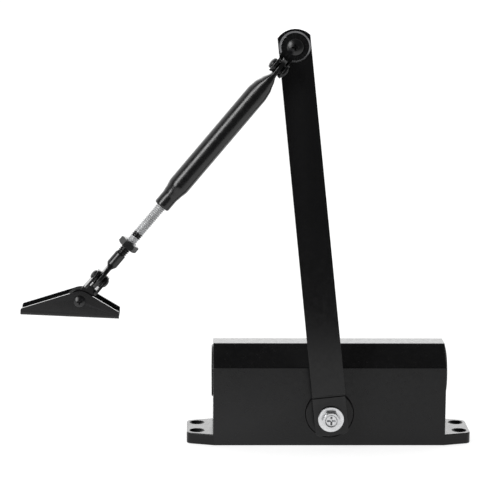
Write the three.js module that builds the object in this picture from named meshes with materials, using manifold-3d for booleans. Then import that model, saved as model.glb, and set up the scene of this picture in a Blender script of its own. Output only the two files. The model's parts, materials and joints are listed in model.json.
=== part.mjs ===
// Overhead door closer: a rack-and-pinion hydraulic body with a two-piece arm.
//
// Millimetres, +Z up. The origin is the centre of the mounting face, which lies on Z = 0.
// X runs along the body, the arm side of the body faces -Y, and the pinion axis is parallel to Y.
import * as THREE from 'three';
import { mergeVertices } from 'three/addons/utils/BufferGeometryUtils.js';
import Module from 'manifold-3d';

const wasm = await Module();
wasm.setup();

// ---------------------------------------------------------------- driving dimensions

const GAP = 0.3;                 // clearance between pieces that touch or run in each other
const SEGMENTS = 24;             // sides of a round, unless it says otherwise
const LARGE_SEGMENTS = 36;       // sides of the main bore and what fits it
const SMALL_SEGMENTS = 14;       // sides of holes and shanks

const BODY = { length: 145, width: 40, height: 62.5, chamfer: 12.6 };
const FLANGE = { length: 178, thick: 7, endWidth: 30, corner: 4 };
const SCREW_HOLE = { spacingX: 165, spacingY: 19, radius: 3.1, sinkRadius: 4.8, sinkDepth: 2.2 };

const BORE = { radius: 16.25, z: 43.5 };
const PLUG = { headRadius: 16.4, headThick: 0.7, crown: 0.15, depth: 9, cupDepth: 6.5 };
const SOCKET = { across: 12, depth: 1.4 };
const PLUG_GROOVE = { radius: 14.6, inner: 5, outer: 3.2 };
const STOP_RING = { inner: 6, outer: 9 };
const PINION_Z = 20.5;
const CHAMBER = { radius: 12, halfWidth: 12.5 };
const SEAT = { bearingRadius: 12.9, bearingEnd: 17, ringRadius: 14.9 };
const VALVE = { y: 9, z: 15, radius: 3.2, depth: 18, drillX: 61.6, drillRadius: 1.1 };

const GEAR = { module: 1.5, teeth: 12, pressureAngle: 25 * Math.PI / 180, width: 14 };
const ADDENDUM = 0.9 * GEAR.module;
const DEDENDUM = 1.15 * GEAR.module;
const BACKLASH = 0.3;
const SHAFT = { radius: 6.9, front: 27.2, rear: 22, square: 9.6, squareFront: 32.2, squareRear: 30 };
const SHAFT_SEAL_RADIUS = 9.6;
const REAR_CAP = { radius: 12, bore: 8.2, height: 10.8, hollow: 9 };

const PISTON = { radius: 15.95, left: -34, right: 60, cupRadius: 13.8, cupDepth: 18 };
const RACK = { left: -12, right: 40 };
const SPRING = { wireRadius: 2.1, outerRadius: 13.5, turns: 6 };
const CHECK_VALVE = { boreRadius: 4.9, boreDepth: 7.6, ballRadius: 2.4, seatRadius: 1.5 };

const ARM = { length: 231.2, lean: 6.2, thick: 5, hubWidth: 20.5, tipWidth: 19.6 };
const HUB = { back: -27.5, end: 10.4, corner: 3, frontStep: 15, rearStep: 21, rise: 1.4, offset: 5.5 };
const TIP = { shoulder: 6.1, crown: 4.5 };
const SCREW_RADIUS = 2.9;        // shanks of the arm bolt and the elbow screw
const RIVET_RADIUS = 2.4;        // shanks of the rivets and the shoe pin
const HEX_ACROSS = 10;           // M6 bolt
const WASHER = { outer: 8.15, inner: 3.3, thick: 1.5 };
const BOLT = { head: 4, shank: 15 };

const SHOE_PIN = { x: -153.8, z: 96.2 };
const FOREARM_Y = -46;
const FORK = { sheet: 1.6, outerWidth: 8.4, front: -53.6, webEnd: 10.8, margin: 4.5 };
const ELBOW_FORK = { discRadius: 9.2, rivet: 15.4 };
const SHOE_FORK = { discRadius: 8.2, rivet: 19.5 };
const EYE_RADIUS = 7;          // flattened ends of the tube and the rod
const TUBE = { radius: 6.5, neckRadius: 5, bore: 3.55, boreDepth: 80, flatThick: 3.2, mouth: 77.4 };
const ROD = { radius: 3.15, forgedRadius: 3.35, tongueThick: 3, end: 132 };
const ROD_STATIONS = { tongueEnd: 28.5, forgedStart: 31, threadStart: 39.6 };
const LOCK_NUT = { start: 44.6, thick: 4.4, across: 11 };

const SHOE = { left: -35.4, right: 24.2, bottom: -10, apex: 6, sheet: 1.4 };
const EAR_END = { left: 3.6, right: 4.4 };
const SHOE_HOLE = { radius: 3.1, fromLeft: 9, fromRight: 8 };
const SHOE_WIDTH = 17;
const SHOE_TILT = 2.5;

// ---------------------------------------------------------------- derived places

const radians = degrees => degrees * Math.PI / 180;
const PITCH_RADIUS = GEAR.module * GEAR.teeth / 2;
const RACK_PITCH_Z = PINION_Z + PITCH_RADIUS;

const ELBOW = {
  x: -ARM.length * Math.sin(radians(ARM.lean)),
  z: PINION_Z + ARM.length * Math.cos(radians(ARM.lean)),
};
const FOREARM_LENGTH = Math.hypot(ELBOW.x - SHOE_PIN.x, ELBOW.z - SHOE_PIN.z);
const FOREARM_ANGLE = Math.atan2(ELBOW.z - SHOE_PIN.z, ELBOW.x - SHOE_PIN.x);

const WASHER_FRONT = -SHAFT.squareFront - 2 * GAP - WASHER.thick;
const ARM_FRONT = HUB.back - ARM.thick - HUB.offset;
const FORK_BACK = ARM_FRONT - GAP;
const FORK_FRONT = FORK_BACK - FORK.sheet;
const EAR_BACK = FORK_FRONT - GAP;
const EAR_FRONT = EAR_BACK - SHOE.sheet;
const FAR_EAR_OUTER = EAR_FRONT + SHOE_WIDTH;

// ---------------------------------------------------------------- solids

function solid(geometry) {
  geometry.deleteAttribute('normal');
  geometry.deleteAttribute('uv');
  const merged = mergeVertices(geometry, 1e-4);
  const mesh = new wasm.Mesh({
    numProp: 3,
    vertProperties: new Float32Array(merged.attributes.position.array),
    triVerts: new Uint32Array(merged.index.array),
  });
  return new wasm.Manifold(mesh);
}

function geometryOf(body) {
  const mesh = body.getMesh();
  const geometry = new THREE.BufferGeometry();
  geometry.setAttribute('position', new THREE.BufferAttribute(mesh.vertProperties, 3));
  geometry.setIndex(new THREE.BufferAttribute(mesh.triVerts, 1));
  geometry.computeVertexNormals();
  return geometry;
}

const join = (first, ...others) => others.reduce((sum, other) => sum.add(other), first);
const cut = (first, ...others) => others.reduce((rest, other) => rest.subtract(other), first);

function block(x0, x1, y0, y1, z0, z1) {
  const box = new THREE.BoxGeometry(x1 - x0, y1 - y0, z1 - z0);
  box.translate((x0 + x1) / 2, (y0 + y1) / 2, (z0 + z1) / 2);
  return solid(box);
}

// A straight round bar from y0 to y1 about the line (x, z); its ends may differ in radius.
function barY(radius, y0, y1, x = 0, z = 0, sides = SEGMENTS, farRadius = radius) {
  const bar = new THREE.CylinderGeometry(farRadius, radius, y1 - y0, sides);
  bar.translate(x, (y0 + y1) / 2, z);
  return solid(bar);
}

function barX(radius, x0, x1, y = 0, z = 0, sides = SEGMENTS, farRadius = radius) {
  const bar = new THREE.CylinderGeometry(farRadius, radius, x1 - x0, sides);
  bar.rotateZ(-Math.PI / 2);
  bar.translate((x0 + x1) / 2, y, z);
  return solid(bar);
}

function barZ(radius, z0, z1, x = 0, y = 0, sides = SEGMENTS, farRadius = radius) {
  const bar = new THREE.CylinderGeometry(farRadius, radius, z1 - z0, sides);
  bar.rotateX(Math.PI / 2);
  bar.translate(x, y, (z0 + z1) / 2);
  return solid(bar);
}

function extruded(shape, depth) {
  return new THREE.ExtrudeGeometry(shape, { depth, bevelEnabled: false, curveSegments: 5 });
}

// A shape drawn in X and Z, extruded from y0 to y1.
function prismY(shape, y0, y1) {
  const prism = extruded(shape, y1 - y0);
  prism.rotateX(Math.PI / 2);
  prism.translate(0, y1, 0);
  return solid(prism);
}

// A shape drawn in Y and Z, extruded from x0 to x1.
function prismX(shape, x0, x1) {
  const prism = extruded(shape, x1 - x0);
  const axes = [new THREE.Vector3(0, 1, 0), new THREE.Vector3(0, 0, 1), new THREE.Vector3(1, 0, 0)];
  prism.applyMatrix4(new THREE.Matrix4().makeBasis(...axes));
  prism.translate(x0, 0, 0);
  return solid(prism);
}

function polygon(points) {
  return new THREE.Shape(points.map(([x, y]) => new THREE.Vector2(x, y)));
}

// A regular hexagon of the given width across its flats.
function hexagon(across, x = 0, z = 0) {
  const corner = across / Math.sqrt(3);
  const points = Array.from({ length: 6 }, (_, i) => {
    const angle = i * Math.PI / 3;
    return [x + corner * Math.cos(angle), z + corner * Math.sin(angle)];
  });
  return polygon(points);
}

// A profile of [radius, height] points turned about the Y axis.
function turnedY(profile, x = 0, z = 0, sides = 24) {
  const points = profile.map(([radius, height]) => new THREE.Vector2(radius, height));
  const lathe = new THREE.LatheGeometry(points, sides);
  lathe.translate(x, 0, z);
  return solid(lathe);
}

// The cross recess of a Phillips head, cut from the plane y inwards.
function crossRecess(y, depth, x = 0, z = 0, reach = 2) {
  const slot = 0.45;
  return join(
    block(x - reach, x + reach, y - 1, y + depth, z - slot, z + slot),
    block(x - slot, x + slot, y - 1, y + depth, z - reach, z + reach),
  );
}

// ---------------------------------------------------------------- materials

function finish(color, roughness, metalness) {
  return new THREE.MeshStandardMaterial({ color, roughness, metalness });
}

const MATERIALS = {
  blackPaint: finish(0x1d1d1e, 0.5, 0.0),
  blackGloss: finish(0x141415, 0.3, 0.0),
  zinc: finish(0xc9ccd0, 0.3, 1.0),
  steel: finish(0x9a9ea3, 0.35, 1.0),
  darkSteel: finish(0x4a4b4d, 0.45, 1.0),
  rubber: finish(0x18181a, 0.85, 0.0),
  blackPlastic: finish(0x202022, 0.6, 0.0),
};

const closer = new THREE.Group();

function addPiece(name, body, material, parent = closer) {
  const geometry = body instanceof wasm.Manifold ? geometryOf(body) : body;
  const mesh = new THREE.Mesh(geometry, material);
  mesh.name = name;
  parent.add(mesh);
}

// ---------------------------------------------------------------- housing

// The body's section across X: the two long edges away from the mounting face are chamfered.
function bodySection() {
  const half = BODY.width / 2;
  const shoulder = BODY.height - BODY.chamfer;
  const flat = half - BODY.chamfer;
  return polygon([
    [-half, 0], [half, 0], [half, shoulder], [flat, BODY.height], [-flat, BODY.height], [-half, shoulder],
  ]);
}

// The base plate's outline: as wide as the body, then drawn in towards its rounded ends.
function flangeOutline() {
  const endX = FLANGE.length / 2;
  const bodyX = BODY.length / 2;
  const half = BODY.width / 2;
  const endY = FLANGE.endWidth / 2;
  const slope = (half - endY) / (endX - bodyX);
  const run = FLANGE.corner * 0.9;
  const shape = new THREE.Shape();
  shape.moveTo(-bodyX, -half);
  shape.lineTo(bodyX, -half);
  shape.lineTo(endX - run, -endY - slope * run);
  shape.quadraticCurveTo(endX, -endY, endX, -endY + FLANGE.corner);
  shape.lineTo(endX, endY - FLANGE.corner);
  shape.quadraticCurveTo(endX, endY, endX - run, endY + slope * run);
  shape.lineTo(bodyX, half);
  shape.lineTo(-bodyX, half);
  shape.lineTo(-endX + run, endY + slope * run);
  shape.quadraticCurveTo(-endX, endY, -endX, endY - FLANGE.corner);
  shape.lineTo(-endX, -endY + FLANGE.corner);
  shape.quadraticCurveTo(-endX, -endY, -endX + run, -endY - slope * run);
  return shape;
}

function housing() {
  const end = BODY.length / 2;
  const front = BODY.width / 2;
  const plate = solid(extruded(flangeOutline(), FLANGE.thick));
  let body = join(prismX(bodySection(), -end, end), plate);
  body = cut(body, barX(BORE.radius, -end - 1, end + 1, 0, BORE.z, LARGE_SEGMENTS));
  body = cut(body, barY(CHAMBER.radius, -CHAMBER.halfWidth, CHAMBER.halfWidth, 0, PINION_Z));
  body = cut(body, barY(SEAT.bearingRadius, -SEAT.bearingEnd - 1, SEAT.bearingEnd + 1, 0, PINION_Z));
  for (const side of [-1, 1]) {
    const inner = side * (SEAT.bearingEnd + GAP);
    const outer = side * (front + 1);
    const [y0, y1] = [Math.min(inner, outer), Math.max(inner, outer)];
    body = cut(body, barY(SEAT.ringRadius, y0, y1, 0, PINION_Z));
    const y = side * VALVE.y;
    body = cut(body, barX(VALVE.radius, end - VALVE.depth, end + 1, y, VALVE.z, SMALL_SEGMENTS));
    body = cut(body, barZ(VALVE.drillRadius, VALVE.z, BORE.z - 11, VALVE.drillX, y, 8));
    for (const across of [-1, 1]) {
      const x = side * SCREW_HOLE.spacingX / 2;
      const holeY = across * SCREW_HOLE.spacingY / 2;
      const { radius, sinkRadius, sinkDepth } = SCREW_HOLE;
      body = cut(body, barZ(radius, -1, FLANGE.thick + 1, x, holeY, SMALL_SEGMENTS));
      const top = FLANGE.thick + 0.01;
      body = cut(body, barZ(radius, top - sinkDepth, top, x, holeY, SMALL_SEGMENTS, sinkRadius));
    }
  }
  return body;
}

// ---------------------------------------------------------------- end plugs and seals

// A plug screwed into the bore, drawn for the right-hand end; side -1 mirrors it to the left.
// One plug has a cup for the spring, the other a ring that stops the piston.
function endPlug(side, withCup) {
  const end = BODY.length / 2;
  const head = end + GAP;
  const top = head + PLUG.headThick;
  const edge = 0.4;
  const face = end - PLUG.depth;
  const stop = PISTON.right + GAP;
  const { inner, outer } = STOP_RING;
  const stopRing = withCup ? [] : [[inner, face], [inner, stop], [outer, stop], [outer, face]];
  const groove = [end - PLUG_GROOVE.inner, end - PLUG_GROOVE.outer];
  const profile = [
    [0, face], ...stopRing, [PISTON.radius, face], [PISTON.radius, groove[0]],
    [PLUG_GROOVE.radius, groove[0]], [PLUG_GROOVE.radius, groove[1]], [PISTON.radius, groove[1]],
    [PISTON.radius, head], [PLUG.headRadius, head], [PLUG.headRadius, top - edge],
    [PLUG.headRadius - 2 * edge, top], [0, top + PLUG.crown],
  ];
  const lathe = new THREE.LatheGeometry(profile.map(([r, x]) => new THREE.Vector2(r, x)), LARGE_SEGMENTS);
  lathe.rotateZ(-Math.PI / 2);
  lathe.translate(0, 0, BORE.z);
  let plug = solid(lathe);
  plug = cut(plug, prismX(hexagon(SOCKET.across, 0, BORE.z), top - SOCKET.depth, top + 1));
  if (withCup) {
    plug = cut(plug, barX(PISTON.cupRadius, 0, face + PLUG.cupDepth, 0, BORE.z));
  }
  return side < 0 ? plug.mirror([1, 0, 0]) : plug;
}

// An O-ring of square-cut section in the plug's groove.
function plugSeal(side) {
  const end = BODY.length / 2;
  const [inner, outer] = [end - PLUG_GROOVE.inner + GAP, end - PLUG_GROOVE.outer - GAP];
  const ring = cut(
    barX(PISTON.radius, inner, outer, 0, BORE.z),
    barX(PLUG_GROOVE.radius + GAP, inner - 1, outer + 1, 0, BORE.z),
  );
  return side < 0 ? ring.mirror([1, 0, 0]) : ring;
}

function valveScrew(side) {
  const end = BODY.length / 2;
  const y = side * VALVE.y;
  const body = join(
    barX(VALVE.radius - GAP, end - 11, end - 0.4, y, VALVE.z, SMALL_SEGMENTS),
    barX(0.8, end - VALVE.depth + 1, end - 10.5, y, VALVE.z, SMALL_SEGMENTS, VALVE.radius - 1.4),
  );
  return cut(body, block(end - 1.6, end, y - 2.4, y + 2.4, VALVE.z - 0.4, VALVE.z + 0.4));
}

// ---------------------------------------------------------------- pinion and its bearings

const involute = angle => Math.tan(angle) - angle;

// Half of a tooth's angular thickness at the given radius.
function halfTooth(radius) {
  const base = PITCH_RADIUS * Math.cos(GEAR.pressureAngle);
  const atPitch = Math.PI / (2 * GEAR.teeth) - BACKLASH / (4 * PITCH_RADIUS);
  const here = radius > base ? involute(Math.acos(base / radius)) : 0;
  return atPitch + involute(GEAR.pressureAngle) - here;
}

function gearOutline() {
  const base = PITCH_RADIUS * Math.cos(GEAR.pressureAngle);
  const tip = PITCH_RADIUS + ADDENDUM;
  const radii = [PITCH_RADIUS - DEDENDUM, base];
  for (let i = 1; i <= 3; i++) radii.push(base + (tip - base) * i / 3);
  const points = [];
  for (let tooth = 0; tooth < GEAR.teeth; tooth++) {
    const centre = Math.PI / 2 + tooth * 2 * Math.PI / GEAR.teeth;
    const flank = side => radii.map(r => {
      const angle = centre + side * halfTooth(r);
      return [r * Math.cos(angle), PINION_Z + r * Math.sin(angle)];
    });
    points.push(...flank(-1), ...flank(1).reverse());
  }
  return polygon(points);
}

function squareAbout(width, lean) {
  const points = [[-1, -1], [1, -1], [1, 1], [-1, 1]].map(([i, j]) => {
    const [x, z] = [i * width / 2, j * width / 2];
    const [c, s] = [Math.cos(lean), Math.sin(lean)];
    return [x * c - z * s, PINION_Z + x * s + z * c];
  });
  return polygon(points);
}

function pinion() {
  const square = squareAbout(SHAFT.square, radians(ARM.lean));
  const shaft = join(
    prismY(gearOutline(), -GEAR.width / 2, GEAR.width / 2),
    barY(SHAFT.radius, -SHAFT.front, SHAFT.rear, 0, PINION_Z),
    prismY(square, -SHAFT.squareFront, SHAFT.squareRear),
  );
  const mouth = -SHAFT.squareFront;
  return cut(shaft, barY(SCREW_RADIUS + GAP, mouth - 1, mouth + 15, 0, PINION_Z, SMALL_SEGMENTS));
}

// A ring about the pinion axis.
function pinionRing(outer, inner, y0, y1) {
  return cut(barY(outer, y0, y1, 0, PINION_Z), barY(inner, y0 - 1, y1 + 1, 0, PINION_Z));
}

// ---------------------------------------------------------------- piston, spring and check valve

// One space between two rack teeth, centred on x.
function rackSpace(x) {
  const pitch = Math.PI * GEAR.module;
  const slope = Math.tan(GEAR.pressureAngle);
  const half = pitch / 4 + BACKLASH / 4;
  const [low, high] = [ADDENDUM + 2, DEDENDUM];
  return polygon([
    [x - half - low * slope, RACK_PITCH_Z - low], [x + half + low * slope, RACK_PITCH_Z - low],
    [x + half - high * slope, RACK_PITCH_Z + high], [x - half + high * slope, RACK_PITCH_Z + high],
  ]);
}

function piston() {
  const { radius, left, right } = PISTON;
  const pitch = Math.PI * GEAR.module;
  let body = barX(radius, left, right, 0, BORE.z, LARGE_SEGMENTS);
  const tipZ = RACK_PITCH_Z - ADDENDUM;
  body = cut(body, block(RACK.left, RACK.right, -radius, radius, tipZ - 5, tipZ));
  for (let i = Math.ceil(RACK.left / pitch); i <= Math.floor(RACK.right / pitch); i++) {
    body = cut(body, prismY(rackSpace(i * pitch), -radius, radius));
  }
  const cupEnd = left + PISTON.cupDepth;
  body = cut(body, barX(PISTON.cupRadius, left - 1, cupEnd, 0, BORE.z));
  const valveStart = right - CHECK_VALVE.boreDepth;
  body = cut(body, barX(CHECK_VALVE.boreRadius, valveStart, right + 1, 0, BORE.z, SMALL_SEGMENTS));
  // two drilled passages join each end of the piston to the space around the pinion
  const drill = CHECK_VALVE.seatRadius;
  const drillRight = 6 * pitch;
  const drillLeft = -pitch;
  body = cut(body, barX(drill, drillRight, valveStart + 1, 0, BORE.z, 12));
  body = cut(body, barZ(drill, RACK_PITCH_Z, BORE.z + drill, drillRight, 0, 12));
  body = cut(body, barX(drill, cupEnd - 1, drillLeft, 0, BORE.z, 12));
  return cut(body, barZ(drill, RACK_PITCH_Z, BORE.z + drill, drillLeft, 0, 12));
}

function checkBall() {
  const { ballRadius, seatRadius, boreDepth } = CHECK_VALVE;
  const ball = new THREE.SphereGeometry(ballRadius, 12, 8);
  const reach = Math.sqrt(ballRadius ** 2 - seatRadius ** 2);
  ball.translate(PISTON.right - boreDepth + reach + GAP, 0, BORE.z);
  return solid(ball);
}

function checkRetainer() {
  const x = PISTON.right - 2;
  return cut(
    barX(CHECK_VALVE.boreRadius - GAP, x, x + 1.5, 0, BORE.z, SMALL_SEGMENTS),
    barX(1.6, x - 1, x + 3, 0, BORE.z, 12),
  );
}

// The closing spring: a helix along X with a six-sided wire.
function spring() {
  const left = -BODY.length / 2 + PLUG.depth - PLUG.cupDepth + GAP + SPRING.wireRadius;
  const right = PISTON.left + PISTON.cupDepth - GAP - SPRING.wireRadius;
  const coil = SPRING.outerRadius - SPRING.wireRadius;
  const [steps, sides] = [SPRING.turns * 14, 6];
  const rise = (right - left) / (SPRING.turns * 2 * Math.PI);
  const positions = [];
  for (let i = 0; i <= steps; i++) {
    const turn = i / steps * SPRING.turns * 2 * Math.PI;
    const out = new THREE.Vector3(0, Math.cos(turn), Math.sin(turn));
    const along = new THREE.Vector3(rise, -coil * Math.sin(turn), coil * Math.cos(turn)).normalize();
    const side = new THREE.Vector3().crossVectors(along, out);
    for (let j = 0; j < sides; j++) {
      const angle = j * 2 * Math.PI / sides;
      positions.push(
        out.clone().multiplyScalar(coil + SPRING.wireRadius * Math.cos(angle))
          .addScaledVector(side, SPRING.wireRadius * Math.sin(angle))
          .add(new THREE.Vector3(left + rise * turn, 0, BORE.z)),
      );
    }
  }
  return loft(positions, steps + 1, sides);
}

// Joins rings of points, listed in order, into one closed body with flat ends.
function loft(points, rings, sides) {
  const faces = [];
  for (let i = 0; i < rings - 1; i++) {
    for (let j = 0; j < sides; j++) {
      const [a, b] = [i * sides + j, i * sides + (j + 1) % sides];
      faces.push(a, b, b + sides, a, b + sides, a + sides);
    }
  }
  const last = (rings - 1) * sides;
  for (let j = 1; j < sides - 1; j++) {
    faces.push(0, j + 1, j, last, last + j, last + j + 1);
  }
  const geometry = new THREE.BufferGeometry();
  geometry.setAttribute('position', new THREE.Float32BufferAttribute(points.flatMap(p => p.toArray()), 3));
  geometry.setIndex(faces);
  return solid(geometry);
}

// ---------------------------------------------------------------- main arm

// The arm in its own frame: the pinion axis at the origin, +Z along the arm.
function mainArm() {
  const { thick, length, hubWidth, tipWidth } = ARM;
  const { back, end, corner, frontStep, rearStep, rise, offset } = HUB;
  const reach = length + 20;
  const side = polygon([
    [back, -20], [back, rearStep - rise], [back - offset, rearStep], [back - offset, reach],
    [back - offset - thick, reach], [back - offset - thick, frontStep + rise],
    [back - thick, frontStep], [back - thick, -20],
  ]);
  const hub = hubWidth / 2;
  const tip = tipWidth / 2;
  const shoulder = length + TIP.shoulder;
  const crown = (tip ** 2 + TIP.crown ** 2) / (2 * TIP.crown);
  const spread = Math.asin(tip / crown);
  const face = new THREE.Shape();
  face.moveTo(hub, 0);
  face.lineTo(tip, shoulder);
  face.absarc(0, shoulder + TIP.crown - crown, crown, Math.PI / 2 - spread, Math.PI / 2 + spread, false);
  face.lineTo(-hub, corner - end);
  face.absarc(corner - hub, corner - end, corner, Math.PI, 1.5 * Math.PI, false);
  face.absarc(hub - corner, corner - end, corner, 1.5 * Math.PI, 2 * Math.PI, false);
  const strip = prismX(side, -hub - 5, hub + 5).intersect(prismY(face, -60, 0));
  const square = SHAFT.square / 2 + GAP;
  return cut(
    strip,
    block(-square, square, -60, 0, -square, square),
    barY(SCREW_RADIUS + GAP, -60, 0, 0, length, SMALL_SEGMENTS),
  );
}

function armBolt() {
  const seat = WASHER_FRONT - GAP;
  const top = seat - BOLT.head;
  const flat = HEX_ACROSS / 2;
  const chamfer = 1.2;
  const cap = prismY(hexagon(HEX_ACROSS, 0, PINION_Z), top, seat);
  const crown = join(
    barY(flat, top, top + chamfer, 0, PINION_Z, SEGMENTS, flat + chamfer),
    barY(flat + chamfer, top + chamfer - 0.01, seat + 1, 0, PINION_Z),
  );
  const shank = barY(SCREW_RADIUS, seat - 1, seat + BOLT.shank, 0, PINION_Z, SMALL_SEGMENTS);
  return cut(join(cap.intersect(crown), shank), crossRecess(top, 2, 0, PINION_Z));
}

// The shouldered screw of the elbow: a domed head over the fork and a flared end behind the arm.
function elbowScrew() {
  const face = FORK_FRONT - GAP;
  const top = face - 2.9;
  const dome = turnedY([
    [0, top], [2.4, top + 0.2], [4.2, top + 0.8], [5, top + 1.8], [5, face], [0, face],
  ], 0, ARM.length);
  const tail = ARM_FRONT + ARM.thick + GAP;
  return cut(
    join(
      dome,
      barY(SCREW_RADIUS, face - 1, tail + 0.5, 0, ARM.length, SMALL_SEGMENTS),
      barY(4.4, tail, tail + 1.2, 0, ARM.length, SEGMENTS, 3.6),
    ),
    crossRecess(top, 1.9, 0, ARM.length, 2.2),
  );
}

// ---------------------------------------------------------------- forks and rivets

// A stamped fork in its own frame: a disc about the pivot at the origin, and two prongs
// along +X that hold a flattened end between them, on a rivet parallel to Z.
function fork({ discRadius, rivet }) {
  const { sheet, outerWidth, front, webEnd, margin } = FORK;
  const half = outerWidth / 2;
  const root = webEnd - 2.5;
  const rootFront = FORK_FRONT - 3;
  const end = rivet + margin;
  const corner = (FORK_FRONT - front) / 2;
  const ear = new THREE.Shape();
  ear.moveTo(root, FORK_BACK);
  ear.lineTo(webEnd, FORK_BACK);
  ear.lineTo(end, rootFront);
  ear.lineTo(end, front + corner);
  ear.quadraticCurveTo(end, front, end - corner, front);
  ear.quadraticCurveTo(webEnd - 1, front, root, rootFront);
  const prongs = [-half, half - sheet].map(z => {
    const prong = extruded(ear, sheet);
    prong.translate(0, 0, z);
    return solid(prong);
  });
  const disc = barY(discRadius, FORK_FRONT, FORK_BACK, 0, 0, 28);
  const web = block(0, webEnd, FORK_FRONT, FORK_BACK, -half, half);
  return cut(
    join(disc, web, ...prongs),
    barY(SCREW_RADIUS + GAP, FORK_FRONT - 1, FORK_BACK + 1, 0, 0, SMALL_SEGMENTS),
    barZ(RIVET_RADIUS + GAP, -half - 1, half + 1, rivet, FOREARM_Y, SMALL_SEGMENTS),
  );
}

// A rivet across a fork, with a round head at each end.
function forkRivet(x, headRadius, headHeight) {
  const seat = FORK.outerWidth / 2 + GAP;
  const dome = [[1, 0], [0.85, 0.5], [0.5, 0.9], [0, 1]];
  const head = dome.map(([r, h]) => [r * headRadius, seat + h * headHeight]);
  const half = [[RIVET_RADIUS, seat], ...head];
  const profile = [...half.map(([r, z]) => [r, -z]).reverse(), ...half];
  const points = profile.map(([r, z]) => new THREE.Vector2(r, z));
  const lathe = new THREE.LatheGeometry(points, SMALL_SEGMENTS);
  lathe.rotateX(Math.PI / 2);
  lathe.translate(x, FOREARM_Y, 0);
  return solid(lathe);
}

// ---------------------------------------------------------------- forearm

// A bar along X whose section is an ellipse; each station gives x and the half sizes in Y and Z.
function ovalBar(stations, sides = 20) {
  const points = stations.flatMap(([x, halfY, halfZ]) => Array.from({ length: sides }, (_, j) => {
    const angle = j * 2 * Math.PI / sides;
    return new THREE.Vector3(x, FOREARM_Y + halfY * Math.cos(angle), halfZ * Math.sin(angle));
  }));
  return loft(points, stations.length, sides);
}

// A flat eye around the rivet at x, running on to endX.
function flatEye(x, endX, thick) {
  const outline = new THREE.Shape();
  const side = Math.sign(endX - x);
  outline.moveTo(x, FOREARM_Y - side * EYE_RADIUS);
  outline.lineTo(endX, FOREARM_Y - side * EYE_RADIUS);
  outline.lineTo(endX, FOREARM_Y + side * EYE_RADIUS);
  outline.lineTo(x, FOREARM_Y + side * EYE_RADIUS);
  const start = side * Math.PI / 2;
  outline.absarc(x, FOREARM_Y, EYE_RADIUS, start, start + Math.PI, false);
  const plate = extruded(outline, thick);
  plate.translate(0, 0, -thick / 2);
  return solid(plate);
}

function forearmTube() {
  const rivet = FOREARM_LENGTH - ELBOW_FORK.rivet;
  const { radius, neckRadius, bore, boreDepth, flatThick, mouth } = TUBE;
  const flat = flatThick / 2;
  const body = ovalBar([
    [mouth, neckRadius, neckRadius], [mouth + 8, neckRadius, neckRadius],
    [mouth + 16, radius, radius], [rivet - 20, radius, radius],
    [rivet - 15, radius + 0.3, radius - 0.7], [rivet - 10, radius + 0.6, radius - 2.4],
    [rivet - 5, EYE_RADIUS - 0.1, flat + 0.3], [rivet - 1, EYE_RADIUS - 1, flat - 0.4],
  ]);
  return cut(
    join(body, flatEye(rivet, rivet - 5, flatThick)),
    barX(bore, mouth - 1, mouth + boreDepth, FOREARM_Y, 0, SMALL_SEGMENTS),
    barZ(RIVET_RADIUS + GAP, -5, 5, rivet, FOREARM_Y, SMALL_SEGMENTS),
  );
}

function adjustingRod() {
  const { radius, forgedRadius, tongueThick, end } = ROD;
  const { tongueEnd, forgedStart, threadStart } = ROD_STATIONS;
  const thin = tongueThick / 2;
  const { rivet } = SHOE_FORK;
  const body = ovalBar([
    [rivet + 1, EYE_RADIUS - 1, thin - 0.4], [rivet + 4.5, EYE_RADIUS - 0.2, thin - 0.1],
    [tongueEnd, 4.9, thin + 0.2], [forgedStart, forgedRadius, forgedRadius],
    [threadStart, forgedRadius, forgedRadius], [threadStart + 0.6, radius, radius], [end, radius, radius],
  ], SMALL_SEGMENTS);
  return cut(
    join(body, flatEye(rivet, rivet + 4.5, tongueThick)),
    barZ(RIVET_RADIUS + GAP, -5, 5, rivet, FOREARM_Y, SMALL_SEGMENTS),
  );
}

function lockNut() {
  const { start, thick, across } = LOCK_NUT;
  const end = start + thick;
  const corner = across / Math.sqrt(3);
  const flat = across / 2;
  const chamfer = 0.7;
  const turned = join(
    barX(flat, start, start + chamfer, FOREARM_Y, 0, SEGMENTS, corner),
    barX(corner, start + chamfer - 0.01, end - chamfer + 0.01, FOREARM_Y, 0),
    barX(corner, end - chamfer, end, FOREARM_Y, 0, SEGMENTS, flat),
  );
  return cut(
    prismX(hexagon(across, FOREARM_Y, 0), start, end).intersect(turned),
    barX(ROD.radius + GAP, start - 1, end + 1, FOREARM_Y, 0, SMALL_SEGMENTS),
  );
}

// ---------------------------------------------------------------- shoe

// One ear of the shoe: a low triangle whose rounded top surrounds the pin.
function earOutline() {
  const { left, right, bottom, apex } = SHOE;
  const leftTop = bottom + EAR_END.left;
  const shape = new THREE.Shape();
  shape.moveTo(left, bottom);
  shape.lineTo(right, bottom);
  shape.lineTo(right, bottom + EAR_END.right);
  shape.lineTo(3, apex - 1.2);
  shape.quadraticCurveTo(0, apex + 0.4, -4, apex - 1.1);
  shape.lineTo(left + 1.5, leftTop + 0.2);
  shape.quadraticCurveTo(left, leftTop - 0.2, left, leftTop - 1.8);
  return shape;
}

function shoeBracket() {
  const { left, right, bottom, sheet } = SHOE;
  const { radius, fromLeft, fromRight } = SHOE_HOLE;
  const middle = (EAR_FRONT + FAR_EAR_OUTER) / 2;
  let body = join(
    prismY(earOutline(), EAR_FRONT, EAR_BACK),
    prismY(earOutline(), FAR_EAR_OUTER - sheet, FAR_EAR_OUTER),
    block(left, right, EAR_FRONT, FAR_EAR_OUTER, bottom, bottom + sheet),
  );
  body = cut(body, barY(RIVET_RADIUS + GAP, EAR_FRONT - 1, FAR_EAR_OUTER + 1, 0, 0, SMALL_SEGMENTS));
  for (const x of [left + fromLeft, right - fromRight]) {
    body = cut(body, barZ(radius, bottom - 1, bottom + sheet + 1, x, middle, SMALL_SEGMENTS));
  }
  return body;
}

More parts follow.
